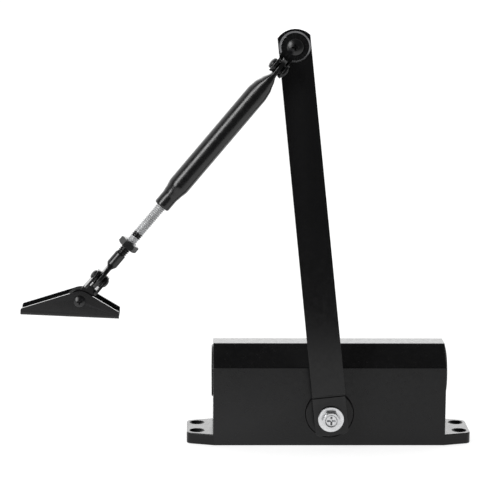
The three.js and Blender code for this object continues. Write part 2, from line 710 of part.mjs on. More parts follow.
function shoePin() {
  const face = EAR_FRONT - GAP;
  const top = face - 2.2;
  const tail = FAR_EAR_OUTER + GAP;
  const head = turnedY([
    [0, top], [1.6, top + 0.2], [2.8, top + 0.8], [3.4, top + 1.6], [3.4, face], [0, face],
  ], 0, 0, SMALL_SEGMENTS);
  return cut(
    join(
      head,
      barY(RIVET_RADIUS, face - 0.5, tail + 0.5, 0, 0, SMALL_SEGMENTS),
      barY(3.4, tail, tail + 1, 0, 0, SEGMENTS, 2.8),
    ),
    crossRecess(top, 1.5, 0, 0, 1.6),
  );
}

// The sleeve that keeps the two ears apart behind the fork.
function shoeSpacer() {
  const [y0, y1] = [FORK_BACK + GAP, FAR_EAR_OUTER - SHOE.sheet - GAP];
  return cut(barY(4.4, y0, y1, 0, 0), barY(RIVET_RADIUS + GAP, y0 - 1, y1 + 1, 0, 0, SMALL_SEGMENTS));
}

// ---------------------------------------------------------------- assembly

function addBody() {
  addPiece('housing', housing(), MATERIALS.blackPaint);
  addPiece('left_end_plug', endPlug(-1, true), MATERIALS.blackPaint);
  addPiece('right_end_plug', endPlug(1, false), MATERIALS.blackPaint);
  addPiece('left_plug_seal', plugSeal(-1), MATERIALS.rubber);
  addPiece('right_plug_seal', plugSeal(1), MATERIALS.rubber);
  addPiece('closing_valve_screw', valveScrew(-1), MATERIALS.zinc);
  addPiece('latching_valve_screw', valveScrew(1), MATERIALS.zinc);
}

function addPinion() {
  const front = BODY.width / 2;
  const inner = SEAT.bearingEnd;
  const [bearingOuter, bearingInner] = [SEAT.bearingRadius - GAP, SHAFT.radius + GAP];
  const ringOuter = SEAT.ringRadius - GAP;
  const sealOuter = SHAFT_SEAL_RADIUS;
  for (const [name, side] of [['front', -1], ['rear', 1]]) {
    const ringAt = (outer, hole, near, far) => {
      const [y0, y1] = [side * near, side * far].sort((a, b) => a - b);
      return pinionRing(outer, hole, y0, y1);
    };
    const bearing = ringAt(bearingOuter, bearingInner, inner - 4.2, inner);
    addPiece(`${name}_pinion_bearing`, bearing, MATERIALS.steel);
    const cover = ringAt(ringOuter, sealOuter + GAP, inner + 2 * GAP, front + 1);
    addPiece(`${name}_bearing_ring`, cover, MATERIALS.blackPaint);
    const seal = ringAt(sealOuter, bearingInner, inner + 2 * GAP, front + 0.5);
    addPiece(`${name}_shaft_seal`, seal, MATERIALS.rubber);
  }
  addPiece('pinion', pinion(), MATERIALS.steel);
  const start = front + 1 + GAP;
  const { radius, bore, height, hollow } = REAR_CAP;
  const cap = cut(
    turnedY([
      [0, start], [radius, start], [radius, start + height - 2.3], [radius - 1.5, start + height - 0.3],
      [0, start + height],
    ], 0, PINION_Z, 28),
    barY(bore, start - 1, start + hollow, 0, PINION_Z),
  );
  addPiece('rear_shaft_cap', cap, MATERIALS.blackPlastic);
}

function addPiston() {
  addPiece('piston', piston(), MATERIALS.steel);
  addPiece('check_ball', checkBall(), MATERIALS.steel);
  addPiece('check_valve_retainer', checkRetainer(), MATERIALS.darkSteel);
  addPiece('closing_spring', spring(), MATERIALS.darkSteel);
}

function addMainArm() {
  const washer = pinionRing(WASHER.outer, WASHER.inner, WASHER_FRONT, WASHER_FRONT + WASHER.thick);
  addPiece('arm_washer', washer, MATERIALS.zinc);
  addPiece('arm_bolt', armBolt(), MATERIALS.zinc);
  const arm = new THREE.Group();
  arm.position.set(0, 0, PINION_Z);
  arm.rotation.y = -radians(ARM.lean);
  closer.add(arm);
  addPiece('main_arm', mainArm(), MATERIALS.blackPaint, arm);
  addPiece('elbow_screw', elbowScrew(), MATERIALS.darkSteel, arm);
}

function addForearm() {
  const elbow = new THREE.Group();
  elbow.position.set(ELBOW.x, 0, ELBOW.z);
  elbow.rotation.y = -FOREARM_ANGLE - Math.PI;
  closer.add(elbow);
  addPiece('elbow_fork', fork(ELBOW_FORK), MATERIALS.blackPaint, elbow);
  addPiece('elbow_rivet', forkRivet(ELBOW_FORK.rivet, 3.5, 1.8), MATERIALS.darkSteel, elbow);

  const forearm = new THREE.Group();
  forearm.position.set(SHOE_PIN.x, 0, SHOE_PIN.z);
  forearm.rotation.y = -FOREARM_ANGLE;
  closer.add(forearm);
  addPiece('forearm_tube', forearmTube(), MATERIALS.blackGloss, forearm);
  addPiece('adjusting_rod', adjustingRod(), MATERIALS.zinc, forearm);
  addPiece('lock_nut', lockNut(), MATERIALS.blackGloss, forearm);
  addPiece('shoe_fork', fork(SHOE_FORK), MATERIALS.blackPaint, forearm);
  addPiece('shoe_rivet', forkRivet(SHOE_FORK.rivet, 2.9, 1.7), MATERIALS.darkSteel, forearm);
}

function addShoe() {
  const shoe = new THREE.Group();
  shoe.position.set(SHOE_PIN.x, 0, SHOE_PIN.z);
  shoe.rotation.y = radians(SHOE_TILT);
  closer.add(shoe);
  addPiece('shoe_bracket', shoeBracket(), MATERIALS.blackPaint, shoe);
  addPiece('shoe_pin', shoePin(), MATERIALS.darkSteel, shoe);
  addPiece('shoe_spacer', shoeSpacer(), MATERIALS.darkSteel, shoe);
}

addBody();
addPinion();
addPiston();
addMainArm();
addForearm();
addShoe();

export default closer;
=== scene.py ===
import json
from math import acos, asin, cos, hypot, pi, radians, sin, sqrt, tan

import bmesh
import bpy
from mathutils import Matrix, Vector


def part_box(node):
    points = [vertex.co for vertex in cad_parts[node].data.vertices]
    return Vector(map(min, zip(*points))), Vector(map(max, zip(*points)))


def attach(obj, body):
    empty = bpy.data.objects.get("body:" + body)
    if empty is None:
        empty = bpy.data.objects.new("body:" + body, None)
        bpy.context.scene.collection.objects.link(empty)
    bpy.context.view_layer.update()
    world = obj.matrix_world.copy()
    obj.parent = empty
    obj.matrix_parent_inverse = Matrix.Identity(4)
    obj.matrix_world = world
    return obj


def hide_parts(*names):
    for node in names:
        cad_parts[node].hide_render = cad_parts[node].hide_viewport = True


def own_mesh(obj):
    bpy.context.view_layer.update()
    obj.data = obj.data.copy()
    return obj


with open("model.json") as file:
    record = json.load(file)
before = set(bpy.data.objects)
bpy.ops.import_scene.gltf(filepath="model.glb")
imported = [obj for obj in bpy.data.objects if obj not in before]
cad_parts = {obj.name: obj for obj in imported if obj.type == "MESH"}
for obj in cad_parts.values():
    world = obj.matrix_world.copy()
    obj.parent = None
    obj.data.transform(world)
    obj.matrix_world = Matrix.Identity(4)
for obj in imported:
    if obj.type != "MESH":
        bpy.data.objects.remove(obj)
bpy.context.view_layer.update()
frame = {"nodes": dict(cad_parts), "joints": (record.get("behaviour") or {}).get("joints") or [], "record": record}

# ---- driving dimensions, in millimetres

BODY = {"end": 72.5, "half_width": 20.0, "height": 62.5, "chamfer": 12.6,
        "edge": 0.7, "foot": 0.4, "ridge": 1.2}
FLANGE = {"end": 89.0, "half_end": 15.0, "thick": 7.0, "corner": 4.0}
SCREW_HOLE = {"x": 82.5, "y": 9.5, "radius": 3.1, "sink": 4.8, "depth": 2.2}
BORE = {"radius": 16.25, "z": 43.5}
CHAMBER = {"radius": 12.0, "half": 12.5}
SEAT = {"bearing": 12.9, "end": 17.0, "ring": 14.9}
VALVE = {"y": 9.0, "z": 15.0, "radius": 3.2, "depth": 18.0, "slot": 0.4}
PLUG = {"head": 16.4, "body": 16.0, "thick": 0.7, "depth": 9.0, "socket": 12.0, "socket_depth": 1.4}
SPRING_CUP = {"radius": 13.8, "depth": 6.5}
STOP_RING = {"inner": 6.0, "outer": 9.0, "height": 3.2}
PLUG_GROOVE = {"radius": 14.6, "inner": 5.0, "outer": 3.2}
O_RING = {"radius": 15.4, "half_wide": 0.6, "half_thick": 0.5}
SHAFT = {"radius": 6.9, "front": 27.4, "rear": 22.0, "square": 9.6, "end": 32.2, "rear_end": 30.0}
SHAFT_SEAL_RADIUS = 9.6
NOTCH = {"count": 4, "radius": 0.9, "place": 12.9, "depth": 1.2}
NEEDLE = {"count": 14, "radius": 1.75, "end": 1.4}
CAP = {"radius": 12.0, "height": 11.0, "wall": 3.8, "hollow": 9.2}
GEAR = {"module": 1.5, "teeth": 12, "pressure": radians(25), "half": 7.0, "backlash": 0.3}
ADDENDUM, DEDENDUM = 0.9 * GEAR["module"], 1.15 * GEAR["module"]
SPRING = {"wire": 2.1, "outer": 13.5, "left": -69.9, "right": -16.2, "turns": 6, "closing": 0.54}

ARM = {"hub": 10.25, "tip": 9.8, "thick": 5.0, "back": -27.5, "shoulder": 6.1, "crown": 4.5, "edge": 0.5}
HUB = {"end": 10.4, "corner": 3.0}
STEP = {"front": 15.0, "rear": 21.0, "rise": 1.4, "offset": 5.5, "crease": 1.6}
WASHER = {"outer": 7.9, "inner": 3.1, "thick": 1.8}
BOLT = {"across": 10.0, "head": 4.0, "shank": 15.0, "dish": 4.9, "dish_floor": 3.2, "dish_depth": 0.7}
SCREW_RADIUS = 2.9
RIVET_RADIUS = 2.4
ELBOW_SCREW = {"shank": SCREW_RADIUS, "head": 5.0, "height": 2.9, "flare": 4.4, "reach": 2.3}
PIVOT_SCREW = {"shank": RIVET_RADIUS, "head": 3.4, "height": 2.2, "flare": 3.4, "reach": 1.7}

FOREARM_Y = -46.0
FORK = {"sheet": 1.6, "half": 4.2, "back": -38.3, "front": -53.6, "margin": 4.5, "web": 11.4}
EAR_ROOT = 10.8
PAD = {"radius": 4.2, "face": 1.75}
RIM = {"wide": 1.1, "deep": 1.5}
ELBOW_FORK = {"disc": 9.4, "rivet": 15.4, "head": 3.5, "dome": 2.0}
SHOE_FORK = {"disc": 8.2, "rivet": 19.5, "head": 2.9, "dome": 1.7}
EYE_RADIUS = 7.0
TUBE = {"radius": 6.5, "neck": 5.0, "bore": 3.4, "depth": 80.0, "flat": 1.6, "mouth": 77.4}
ROD = {"shank": 3.35, "flat": 1.5, "tongue_end": 28.5, "round": 31.0, "thread": 39.6, "end": 132.0}
THREAD = {"pitch": 1.27, "crest": 3.15, "root": 2.5}
ROD_PAINT = {"nut": 46.5, "band": (53.2, 56.3)}
NUT = {"start": 44.6, "thick": 4.4, "across": 11.0, "bore": 3.3}
SHOE = {"left": -35.4, "right": 24.2, "bottom": -10.0, "sheet": 1.4, "front": -41.6, "width": 17.0}
EAR = {"left": 4.0, "right": 4.4, "apex": 7.1, "apex_x": 1.0, "apex_radius": 8.5, "edge": 0.28}
SHOE_HOLE = {"radius": 3.1, "places": (-26.4, 16.2)}
SPACER_RADIUS = 4.4

SHARP = radians(32)              # edges that turn by more than this stay sharp in the shading
TO_METRES = Matrix.Scale(0.001, 4)

# ---- local frames

JOINTS = {joint["name"]: joint for joint in frame["joints"]}


def pivot(name):
    """A joint's place in millimetres, on the plane Y = 0."""
    x, _, z = JOINTS[name]["pos_m"]
    return Vector((x, 0, z)) * 1000


def upright(origin, along_x):
    """The frame at origin with its X along the given direction and its Y along the world's."""
    x = Vector(along_x).normalized()
    y = Vector((0, 1, 0))
    matrix = Matrix((x, y, x.cross(y))).transposed().to_4x4()
    matrix.translation = origin
    return matrix


PINION = pivot("pinion_turn")
ELBOW = pivot("elbow_pivot")
SHOE_PIN = pivot("shoe_pivot")
ARM_LENGTH = (ELBOW - PINION).length
ARM_DIRECTION = (ELBOW - PINION).normalized()
FOREARM_LENGTH = (ELBOW - SHOE_PIN).length
FOREARM_DIRECTION = (ELBOW - SHOE_PIN).normalized()
SHOE_DOWN = Vector(next(m["axis"] for m in frame["record"]["mounts"] if m["name"] == "shoe_base"))

AT_BODY = Matrix()
AT_PINION = upright(PINION, (1, 0, 0))
AT_ARM = upright(PINION, Vector((0, 1, 0)).cross(ARM_DIRECTION))
AT_ELBOW = upright(ELBOW, -FOREARM_DIRECTION)
AT_FOREARM = upright(SHOE_PIN, FOREARM_DIRECTION)
AT_SHOE = upright(SHOE_PIN, SHOE_DOWN.cross((0, 1, 0)))

# ---- solids


def add_object(name, data):
    made = bpy.data.objects.new(name, data)
    bpy.context.scene.collection.objects.link(made)
    return made


def solid(mesh_data):
    """Turns finished mesh data into an object, in millimetres, for joining and cutting."""
    bmesh.ops.recalc_face_normals(mesh_data, faces=mesh_data.faces)
    mesh = bpy.data.meshes.new("solid")
    mesh_data.to_mesh(mesh)
    mesh_data.free()
    return add_object("solid", mesh)


def apply_modifiers(made):
    bpy.context.view_layer.update()
    graph = bpy.context.evaluated_depsgraph_get()
    made.data = bpy.data.meshes.new_from_object(made.evaluated_get(graph))
    made.modifiers.clear()


def combine(first, operation, others):
    """Joins, cuts or intersects the first solid with each of the others, which are used up."""
    for other in others:
        modifier = first.modifiers.new("combine", "BOOLEAN")
        modifier.operation = operation
        modifier.solver = "MANIFOLD"
        modifier.object = other
        apply_modifiers(first)
        bpy.data.objects.remove(other)
    return first


def join(first, *others):
    return combine(first, "UNION", others)


def cut(first, *others):
    return combine(first, "DIFFERENCE", others)


def overlap(first, other):
    return combine(first, "INTERSECT", [other])


def oriented(axis, along, a, b):
    """A point at a height along an axis and at (a, b) across it."""
    return {"X": (along, a, b), "Y": (a, along, b), "Z": (a, b, along)}[axis]


def skin(rings, mesh_data, closed):
    """Faces between rings of vertices; a ring of one vertex closes to a point."""
    following = rings[1:] + ([rings[0]] if closed else [])
    for ring, after in zip(rings, following):
        count = max(len(ring), len(after))
        for k in range(count):
            corners = [ring[k % len(ring)], ring[(k + 1) % len(ring)],
                       after[(k + 1) % len(after)], after[k % len(after)]]
            corners = list(dict.fromkeys(corners))
            if len(corners) > 2:
                mesh_data.faces.new(corners)


def soften(mesh_data, edge):
    """Rounds the edges that turn by more than 60 degrees."""
    edges = [e for e in mesh_data.edges if e.calc_face_angle(0) > radians(60)]
    bmesh.ops.bevel(mesh_data, geom=edges, offset=edge, offset_type="OFFSET", segments=3,
                    profile=0.5, affect="EDGES", clamp_overlap=True)


def add_shell(mesh_data, sections, closed=False):
    """A skin over rings of points. It ends in flat caps or in points, or closes on itself."""
    rings = [[mesh_data.verts.new(point) for point in section] for section in sections]
    skin(rings, mesh_data, closed)
    for ring in (rings[0], rings[-1]):
        if len(ring) > 1 and not closed:
            mesh_data.faces.new(ring)


def loft(sections, edge=0.0, closed=False):
    """A solid through rings of points, with its sharp edges rounded where an edge is given."""
    mesh_data = bmesh.new()
    add_shell(mesh_data, sections, closed)
    if edge:
        bmesh.ops.recalc_face_normals(mesh_data, faces=mesh_data.faces)
        soften(mesh_data, edge)
    return solid(mesh_data)


def around(count):
    """The angles of points spaced evenly round a circle."""
    return [2 * pi * k / count for k in range(count)]


def lathe(profile, axis="Y", at=(0, 0), sides=96):
    """Turns a profile of (along, radius) points about an axis. It ends on the axis or closes on itself."""
    return loft([
        [oriented(axis, along, at[0] + radius * cos(t), at[1] + radius * sin(t))
         for t in around(sides if radius > 0 else 1)]
        for along, radius in profile
    ], closed=profile[0][1] > 0)


def bar(radius, low, high, axis="Y", at=(0, 0), sides=64, far_radius=None):
    """A round bar along an axis, which tapers where it has a far radius."""
    far_radius = radius if far_radius is None else far_radius
    return lathe([(low, 0), (low, radius), (high, far_radius), (high, 0)], axis, at, sides)


def tube_ring(outer, inner, low, high, edge, sides=96):
    """A plain ring with its outer edges broken."""
    profile = [(low, outer - edge), (low + edge, outer), (high - edge, outer), (high, outer - edge)]
    return lathe([(low, inner)] + profile + [(high, inner)], sides=sides)


def rounded(corners, steps=8):
    """An outline through corners of (x, y, radius), each rounded to its radius."""
    points = []
    for i, (x, y, radius) in enumerate(corners):
        corner = Vector((x, y))
        if radius == 0:
            points.append(corner)
            continue
        before = (Vector(corners[i - 1][:2]) - corner).normalized()
        after = (Vector(corners[(i + 1) % len(corners)][:2]) - corner).normalized()
        half = acos(max(-1, min(1, before.dot(after)))) / 2
        centre = corner + (before + after).normalized() * radius / sin(half)
        start = corner + before * radius / tan(half) - centre
        end = corner + after * radius / tan(half) - centre
        turn = pi - 2 * half
        for k in range(steps + 1):
            share = k / steps
            mixed = start * sin((1 - share) * turn) + end * sin(share * turn)
            points.append(centre + mixed / sin(turn))
    return [tuple(point) for point in points]


def arc(x, y, radius, start, end, steps):
    angles = [start + (end - start) * k / steps for k in range(steps + 1)]
    return [(x + radius * cos(t), y + radius * sin(t)) for t in angles]


def prism(outline, low, high, axis="Y", edge=0.0):
    """An outline drawn across an axis and extruded along it."""
    return loft([[oriented(axis, along, a, b) for a, b in outline] for along in (low, high)], edge)


def block(x0, x1, y0, y1, z0, z1):
    return prism([(x0, z0), (x1, z0), (x1, z1), (x0, z1)], y0, y1)


def hexagon(across, x, z):
    corner = across / sqrt(3)
    return [(x + corner * cos(k * pi / 3), z + corner * sin(k * pi / 3)) for k in range(6)]


def turned(points, angle, x=0.0, z=0.0):
    """Points turned by an angle, then moved to (x, z)."""
    return [(x + a * cos(angle) - b * sin(angle), z + a * sin(angle) + b * cos(angle)) for a, b in points]


def cross_recess(top, depth, reach, x=0.0, z=0.0):
    """The tapering cross of a Phillips recess, cut from the plane y = top inwards."""
    wide = reach / 4
    levels = [(top - 1.5, reach + 0.4, wide), (top + 0.2, reach, wide - 0.05), (top + depth, 0.6, 0.35)]
    arms = []
    for turn in (0, pi / 2):
        arms.append(loft([
            [(a, y, b) for a, b in turned([(-p, -q), (p, -q), (p, q), (-p, q)], turn, x, z)]
            for y, p, q in levels
        ]))
    return join(*arms)


def add_bevel(made, width, angle, segments=2):
    """A bevel on every edge that turns by more than the given angle in degrees."""
    bevel = made.modifiers.new("broken_edges", "BEVEL")
    bevel.width = width
    bevel.segments = segments
    bevel.limit_method = "ANGLE"
    bevel.angle_limit = radians(angle)
    return bevel


def break_edges(made, width, angle, segments=2):
    """Rounds the sharp edges of a finished solid for good."""
    add_bevel(made, width, angle, segments)
    apply_modifiers(made)
    return made


# ---- materials

# how many times a pattern repeats in a metre, roughly
TONE, GLOSS = 45, 380                    # of paint
STAIN, POLISH, SCRATCH = 160, 700, 2600  # of metal
BLOOM, SPARK = 120, 2400                 # of rubber and plastic
SPARK_RELIEF = 0.00003
WORN_EDGE = (0.52, 0.6)                  # the pointiness at which wear starts and is full


def new_material(name, color, roughness, metallic, specular=0.5):
    material = bpy.data.materials.new(name)
    material.use_nodes = True
    shader = material.node_tree.nodes["Principled BSDF"]
    values = {"Base Color": (*color, 1), "Roughness": roughness, "Metallic": metallic,
              "Specular IOR Level": specular}
    for socket, value in values.items():
        shader.inputs[socket].default_value = value
    return material, material.node_tree, shader


def add_node(tree, kind, inputs=None, **settings):
    """A shader node with its settings, each of whose inputs gets a value or a link."""
    node = tree.nodes.new(f"ShaderNode{kind}")
    for name, value in settings.items():
        setattr(node, name, value)
    for name, value in (inputs or {}).items():
        if isinstance(value, bpy.types.NodeSocket):
            tree.links.new(value, node.inputs[name])
        else:
            node.inputs[name].default_value = value
    return node


def object_noise(tree, scale, detail, stretch=(1, 1, 1)):
    """Noise fixed to the piece, at a scale per metre, which may be stretched along an axis."""
    place = add_node(tree, "TexCoord").outputs["Object"]
    mapped = add_node(tree, "Mapping", {"Vector": place, "Scale": stretch}).outputs["Vector"]
    return add_node(tree, "TexNoise", {"Vector": mapped, "Scale": scale, "Detail": detail}).outputs["Fac"]


def spread(tree, value, low, high, start=0.3, end=0.7):
    """Maps the range from start to end, which is a noise's middle range, to the range from low to high."""
    ranges = {"From Min": start, "From Max": end, "To Min": low, "To Max": high}
    return add_node(tree, "MapRange", {"Value": value, **ranges}).outputs["Result"]


def mix_color(tree, factor, first, second):
    """Mixes two colours. Sockets 6, 7 and 2 are the ones that a mix node uses for colours."""
    ends = {6: first, 7: second}
    ends = {k: (*value, 1) if isinstance(value, tuple) else value for k, value in ends.items()}
    return add_node(tree, "Mix", {0: factor, **ends}, data_type="RGBA").outputs[2]


def drive(tree, shader, color, roughness, height, relief):
    """Links a shader's colour, roughness and bump."""
    bump = add_node(tree, "Bump", {"Height": height, "Strength": 1.0, "Distance": relief})
    driven = {"Base Color": color, "Roughness": roughness, "Normal": bump.outputs["Normal"]}
    for name, value in driven.items():
        tree.links.new(value, shader.inputs[name])


def paint(name, color, roughness, grain, relief, specular=0.5):
    """Sprayed paint: a fine orange peel, slow changes of tone and gloss, and a thin film on sharp edges."""
    material, tree, shader = new_material(name, color, roughness, 0.0, specular)
    slow, fine = object_noise(tree, TONE, 3), object_noise(tree, grain, 3)
    toned = mix_color(tree, spread(tree, slow, 0, 1), color, tuple(c * 1.35 for c in color))
    pointiness = add_node(tree, "NewGeometry").outputs["Pointiness"]
    edges = spread(tree, pointiness, 0, 1, *WORN_EDGE)
    worn = mix_color(tree, edges, toned, tuple(c * 2 + 0.004 for c in color))
    gloss = spread(tree, object_noise(tree, GLOSS, 5), roughness - 0.04, roughness + 0.05)
    drive(tree, shader, worn, gloss, fine, relief)
    return material


def plated(name, color, roughness, relief=0.000012, stretch=(1, 1, 1)):
    """Plated or ground metal: fine drawn scratches, faint stains and a varying polish."""
    material, tree, shader = new_material(name, color, roughness, 1.0)
    stains = spread(tree, object_noise(tree, STAIN, 5), 0, 1)
    stained = mix_color(tree, stains, color, tuple(c * 0.78 for c in color))
    polish = spread(tree, object_noise(tree, POLISH, 4, stretch), roughness * 0.75, roughness * 1.35)
    drive(tree, shader, stained, polish, object_noise(tree, SCRATCH, 2, stretch), relief)
    return material


def moulded(name, color, roughness, specular=0.5):
    """Moulded rubber or plastic with a fine sparked grain."""
    material, tree, shader = new_material(name, color, roughness, 0.0, specular)
    bloom = spread(tree, object_noise(tree, BLOOM, 4), 0, 1)
    bloomed = mix_color(tree, bloom, color, tuple(c * 1.6 + 0.004 for c in color))
    grain = object_noise(tree, SPARK, 2)
    gloss = spread(tree, grain, roughness - 0.06, roughness + 0.08)
    drive(tree, shader, bloomed, gloss, grain, SPARK_RELIEF)
    return material


BLACK = (0.0024, 0.0024, 0.0026)
# bright bare metal for the forward slope of the elbow disc's rim, standing in for its highlight: a painted
# highlight
RIM_HIGHLIGHT_METAL = plated("painted_rim_highlight_metal", (0.17, 0.17, 0.175), 0.26)
DULL_ZINC = plated("dull_zinc_thread", (0.6, 0.605, 0.61), 0.58)
LOOKS = {
    "body_paint": paint("satin_black_casting", BLACK, 0.23, grain=1500, relief=0.000003, specular=0.25),
    "arm_paint": paint("satin_black_strip", BLACK, 0.2, grain=1700, relief=0.000003, specular=0.3),
    "tube_paint": paint("gloss_black_tube", (0.0022, 0.0022, 0.0024), 0.26, grain=1100, relief=0.000006),
    "zinc": plated("bright_zinc", (0.68, 0.685, 0.695), 0.24),
    "black_zinc": paint(
        "black_zinc", (0.003, 0.003, 0.0035), 0.32, grain=2300, relief=0.000004, specular=0.45),
    "steel": plated("ground_steel", (0.52, 0.53, 0.55), 0.24, relief=0.00001, stretch=(1, 0.15, 1)),
    "spring_steel": plated("oiled_spring_steel", (0.16, 0.16, 0.17), 0.34),
    "seal_rubber": moulded("nitrile_rubber", (0.012, 0.012, 0.013), 0.6, specular=0.35),
    "cap_plastic": moulded("black_plastic", (0.014, 0.014, 0.015), 0.42),
}

# ---- pieces


def add_piece(made, name, body, slot, place, stands_for):
    """Sets a solid in place in metres, gives it its finish, ties it to its body and hides the CAD nodes it stands
    for.
    """
    made.name = name
    made.data.name = name
    made.data.transform(TO_METRES @ place)
    made.data.materials.clear()
    made.data.materials.append(LOOKS[slot])
    made.data.shade_smooth()
    made.data.set_sharp_from_angle(angle=SHARP)
    normals = made.modifiers.new("weighted_normals", "WEIGHTED_NORMAL")
    normals.keep_sharp = True
    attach(made, body)
    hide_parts(*stands_for)
    return made


def add_rim_highlight_metal(piece, axis, inner, outer):
    """Gives the forward slope of a disc's rim, between two radii in millimetres, bright bare metal: a painted
    highlight on the rim.
    """
    piece.data.materials.append(RIM_HIGHLIGHT_METAL)
    steepest, flattest = 0.3, 0.9
    for face in piece.data.polygons:
        away = face.center - axis
        slopes_forward = steepest < -face.normal.y < flattest
        if slopes_forward and inner < 1000 * hypot(away.x, away.z) < outer:
            face.material_index = 1


def finish_cad_node(name, slot, edge):
    """Keeps a CAD node's shape, with broken edges and the material of its slot."""
    node = frame["nodes"][name]
    node.data.materials.clear()
    node.data.materials.append(LOOKS[slot])
    add_bevel(node, edge / 1000, 40).harden_normals = True


# ---- housing


def body_casting():
    end, half, height, chamfer, edge = (BODY[k] for k in ("end", "half_width", "height", "chamfer", "edge"))
    shoulder, flat = height - chamfer, half - chamfer
    foot, ridge = BODY["foot"], BODY["ridge"]
    section = rounded([
        (-half, 0, foot), (half, 0, foot), (half, shoulder, ridge), (flat, height, ridge),
        (-flat, height, ridge), (-half, shoulder, ridge),
    ])
    casting = join(prism(section, -end, end, "X", edge), flange_ear(-1), flange_ear(1))
    far = end + 2
    tools = [
        bar(BORE["radius"], -far, far, "X", (0, BORE["z"]), 128),
        bar(CHAMBER["radius"], -CHAMBER["half"], CHAMBER["half"], "Y", (0, PINION.z), 96),
        bar(SEAT["bearing"], -SEAT["end"] - 1, SEAT["end"] + 1, "Y", (0, PINION.z), 96),
    ]
    for side in (-1, 1):
        tools.append(ring_seat(side))
        at = (side * VALVE["y"], VALVE["z"])
        tools.append(bar(VALVE["radius"], end - VALVE["depth"], far, "X", at, 48))
        tools += [screw_hole(side, across) for across in (-1, 1)]
    return cut(casting, *tools)


def flange_ear(side):
    """One tapering end of the mounting flange. Inside the body it stays a hair within the body's faces."""
    root, half = BODY["end"] - 0.05, BODY["half_width"] - 0.03
    outer, end_y, corner = FLANGE["end"], FLANGE["half_end"], FLANGE["corner"]
    outline = rounded([
        (side * (root - 10), -half, 0), (side * root, -half, 1), (side * outer, -end_y, corner),
        (side * outer, end_y, corner), (side * root, half, 1), (side * (root - 10), half, 0),
    ])
    return prism(outline, 0.01, FLANGE["thick"], "Z", 0.5)


def ring_seat(side):
    """The bearing ring's seat on one side of the body, with a small chamfer at its mouth."""
    half, ring = BODY["half_width"], SEAT["ring"]
    inner, mouth = side * (SEAT["end"] + 0.3), side * (half - 0.35)
    profile = [(inner, 0), (inner, ring), (mouth, ring), (side * (half + 0.35), ring + 0.7)]
    return lathe(profile + [(side * (half + 1), 0)], "Y", (0, PINION.z), 128)


def screw_hole(side, across):
    """A flange hole and its countersink."""
    at = (side * SCREW_HOLE["x"], across * SCREW_HOLE["y"])
    radius, sink, top = SCREW_HOLE["radius"], SCREW_HOLE["sink"], FLANGE["thick"]
    low = top - SCREW_HOLE["depth"]
    slope = (sink - radius) / (top - low)
    profile = [(-1, 0), (-1, radius), (low, radius), (top + 1, sink + slope), (top + 1, 0)]
    return lathe(profile, "Z", at, 48)


def end_plug(side):
    """A plug with a hexagon socket. The left one has a cup for the spring, the right one a stop ring."""
    end, body, head = BODY["end"], PLUG["body"], PLUG["head"]
    low, top, face = end + 0.05, end + 0.3 + PLUG["thick"], end - PLUG["depth"]
    if side < 0:
        floor = face + SPRING_CUP["depth"]
        inside = [(floor, 0), (floor, SPRING_CUP["radius"]), (face, SPRING_CUP["radius"])]
    else:
        inner, outer, stop = STOP_RING["inner"], STOP_RING["outer"], face - STOP_RING["height"]
        inside = [(face, 0), (face, inner), (stop, inner + 0.3), (stop, outer - 0.3), (face, outer)]
    left, right = end - PLUG_GROOVE["inner"], end - PLUG_GROOVE["outer"]
    groove = [(left, body), (left, PLUG_GROOVE["radius"]), (right, PLUG_GROOVE["radius"]), (right, body)]
    rim = [(low, body), (low, head - 0.1), (low + 0.1, head)]
    rim += [(top - 0.45 + 0.45 * sin(t), head - 0.7 + 0.7 * cos(t)) for t in (0, 0.4, 0.8, 1.2, pi / 2)]
    profile = inside + [(face, body - 0.3), (face + 0.3, body)] + groove + rim + [(top, 0)]
    across, at = PLUG["socket"], (0, BORE["z"])
    socket = prism(hexagon(across, *at), top - PLUG["socket_depth"], top + 2, "X")
    lead = bar(across / 2 + 0.4, top - 0.5, top + 0.7, "X", at, far_radius=across / 2 + 1.6)
    plug = cut(lathe(profile, "X", at, 128), socket, lead)
    if side < 0:
        plug.data.transform(Matrix.Scale(-1, 4, (1, 0, 0)))
        plug.data.flip_normals()
    return plug


def o_ring(side):
    """A round rubber ring, a little flattened in its groove."""
    middle = side * (BODY["end"] - (PLUG_GROOVE["inner"] + PLUG_GROOVE["outer"]) / 2)
    radius, wide, thick = O_RING["radius"], O_RING["half_wide"], O_RING["half_thick"]
    section = [(middle + wide * sin(t), radius + thick * cos(t)) for t in around(16)]
    return lathe(section, "X", (0, BORE["z"]))


def valve_screw(side):
    """A regulating screw with a cone-shaped point and a slot."""
    end, at = BODY["end"], (side * VALVE["y"], VALVE["z"])
    radius = VALVE["radius"] - 0.25
    screw = lathe([
        (end - 17, 0), (end - 17, 0.8), (end - 11.5, 1.8), (end - 11, radius - 0.3), (end - 10.7, radius),
        (end - 0.7, radius), (end - 0.4, radius - 0.3), (end - 0.4, 0),
    ], "X", at, 48)
    long, wide = 2.4, VALVE["slot"]
    return cut(screw, block(end - 1.7, end, at[0] - long, at[0] + long, at[1] - wide, at[1] + wide))


def add_housing():
    def add(made, name, slot, node, body="body"):
        add_piece(made, name, body, slot, AT_BODY, [node])

    ends = ((-1, "left"), (1, "right"))
    add(body_casting(), "body_casting", "body_paint", "housing")
    for side, name in ends:
        add(end_plug(side), f"{name}_plug", "body_paint", f"{name}_end_plug")
    for side, name in ends:
        add(o_ring(side), f"{name}_o_ring", "seal_rubber", f"{name}_plug_seal")
    for side, name in ((-1, "closing"), (1, "latching")):
        add(valve_screw(side), f"{name}_screw", "zinc", f"{name}_valve_screw", f"{name}_valve")


# ---- pinion, bearings and seals


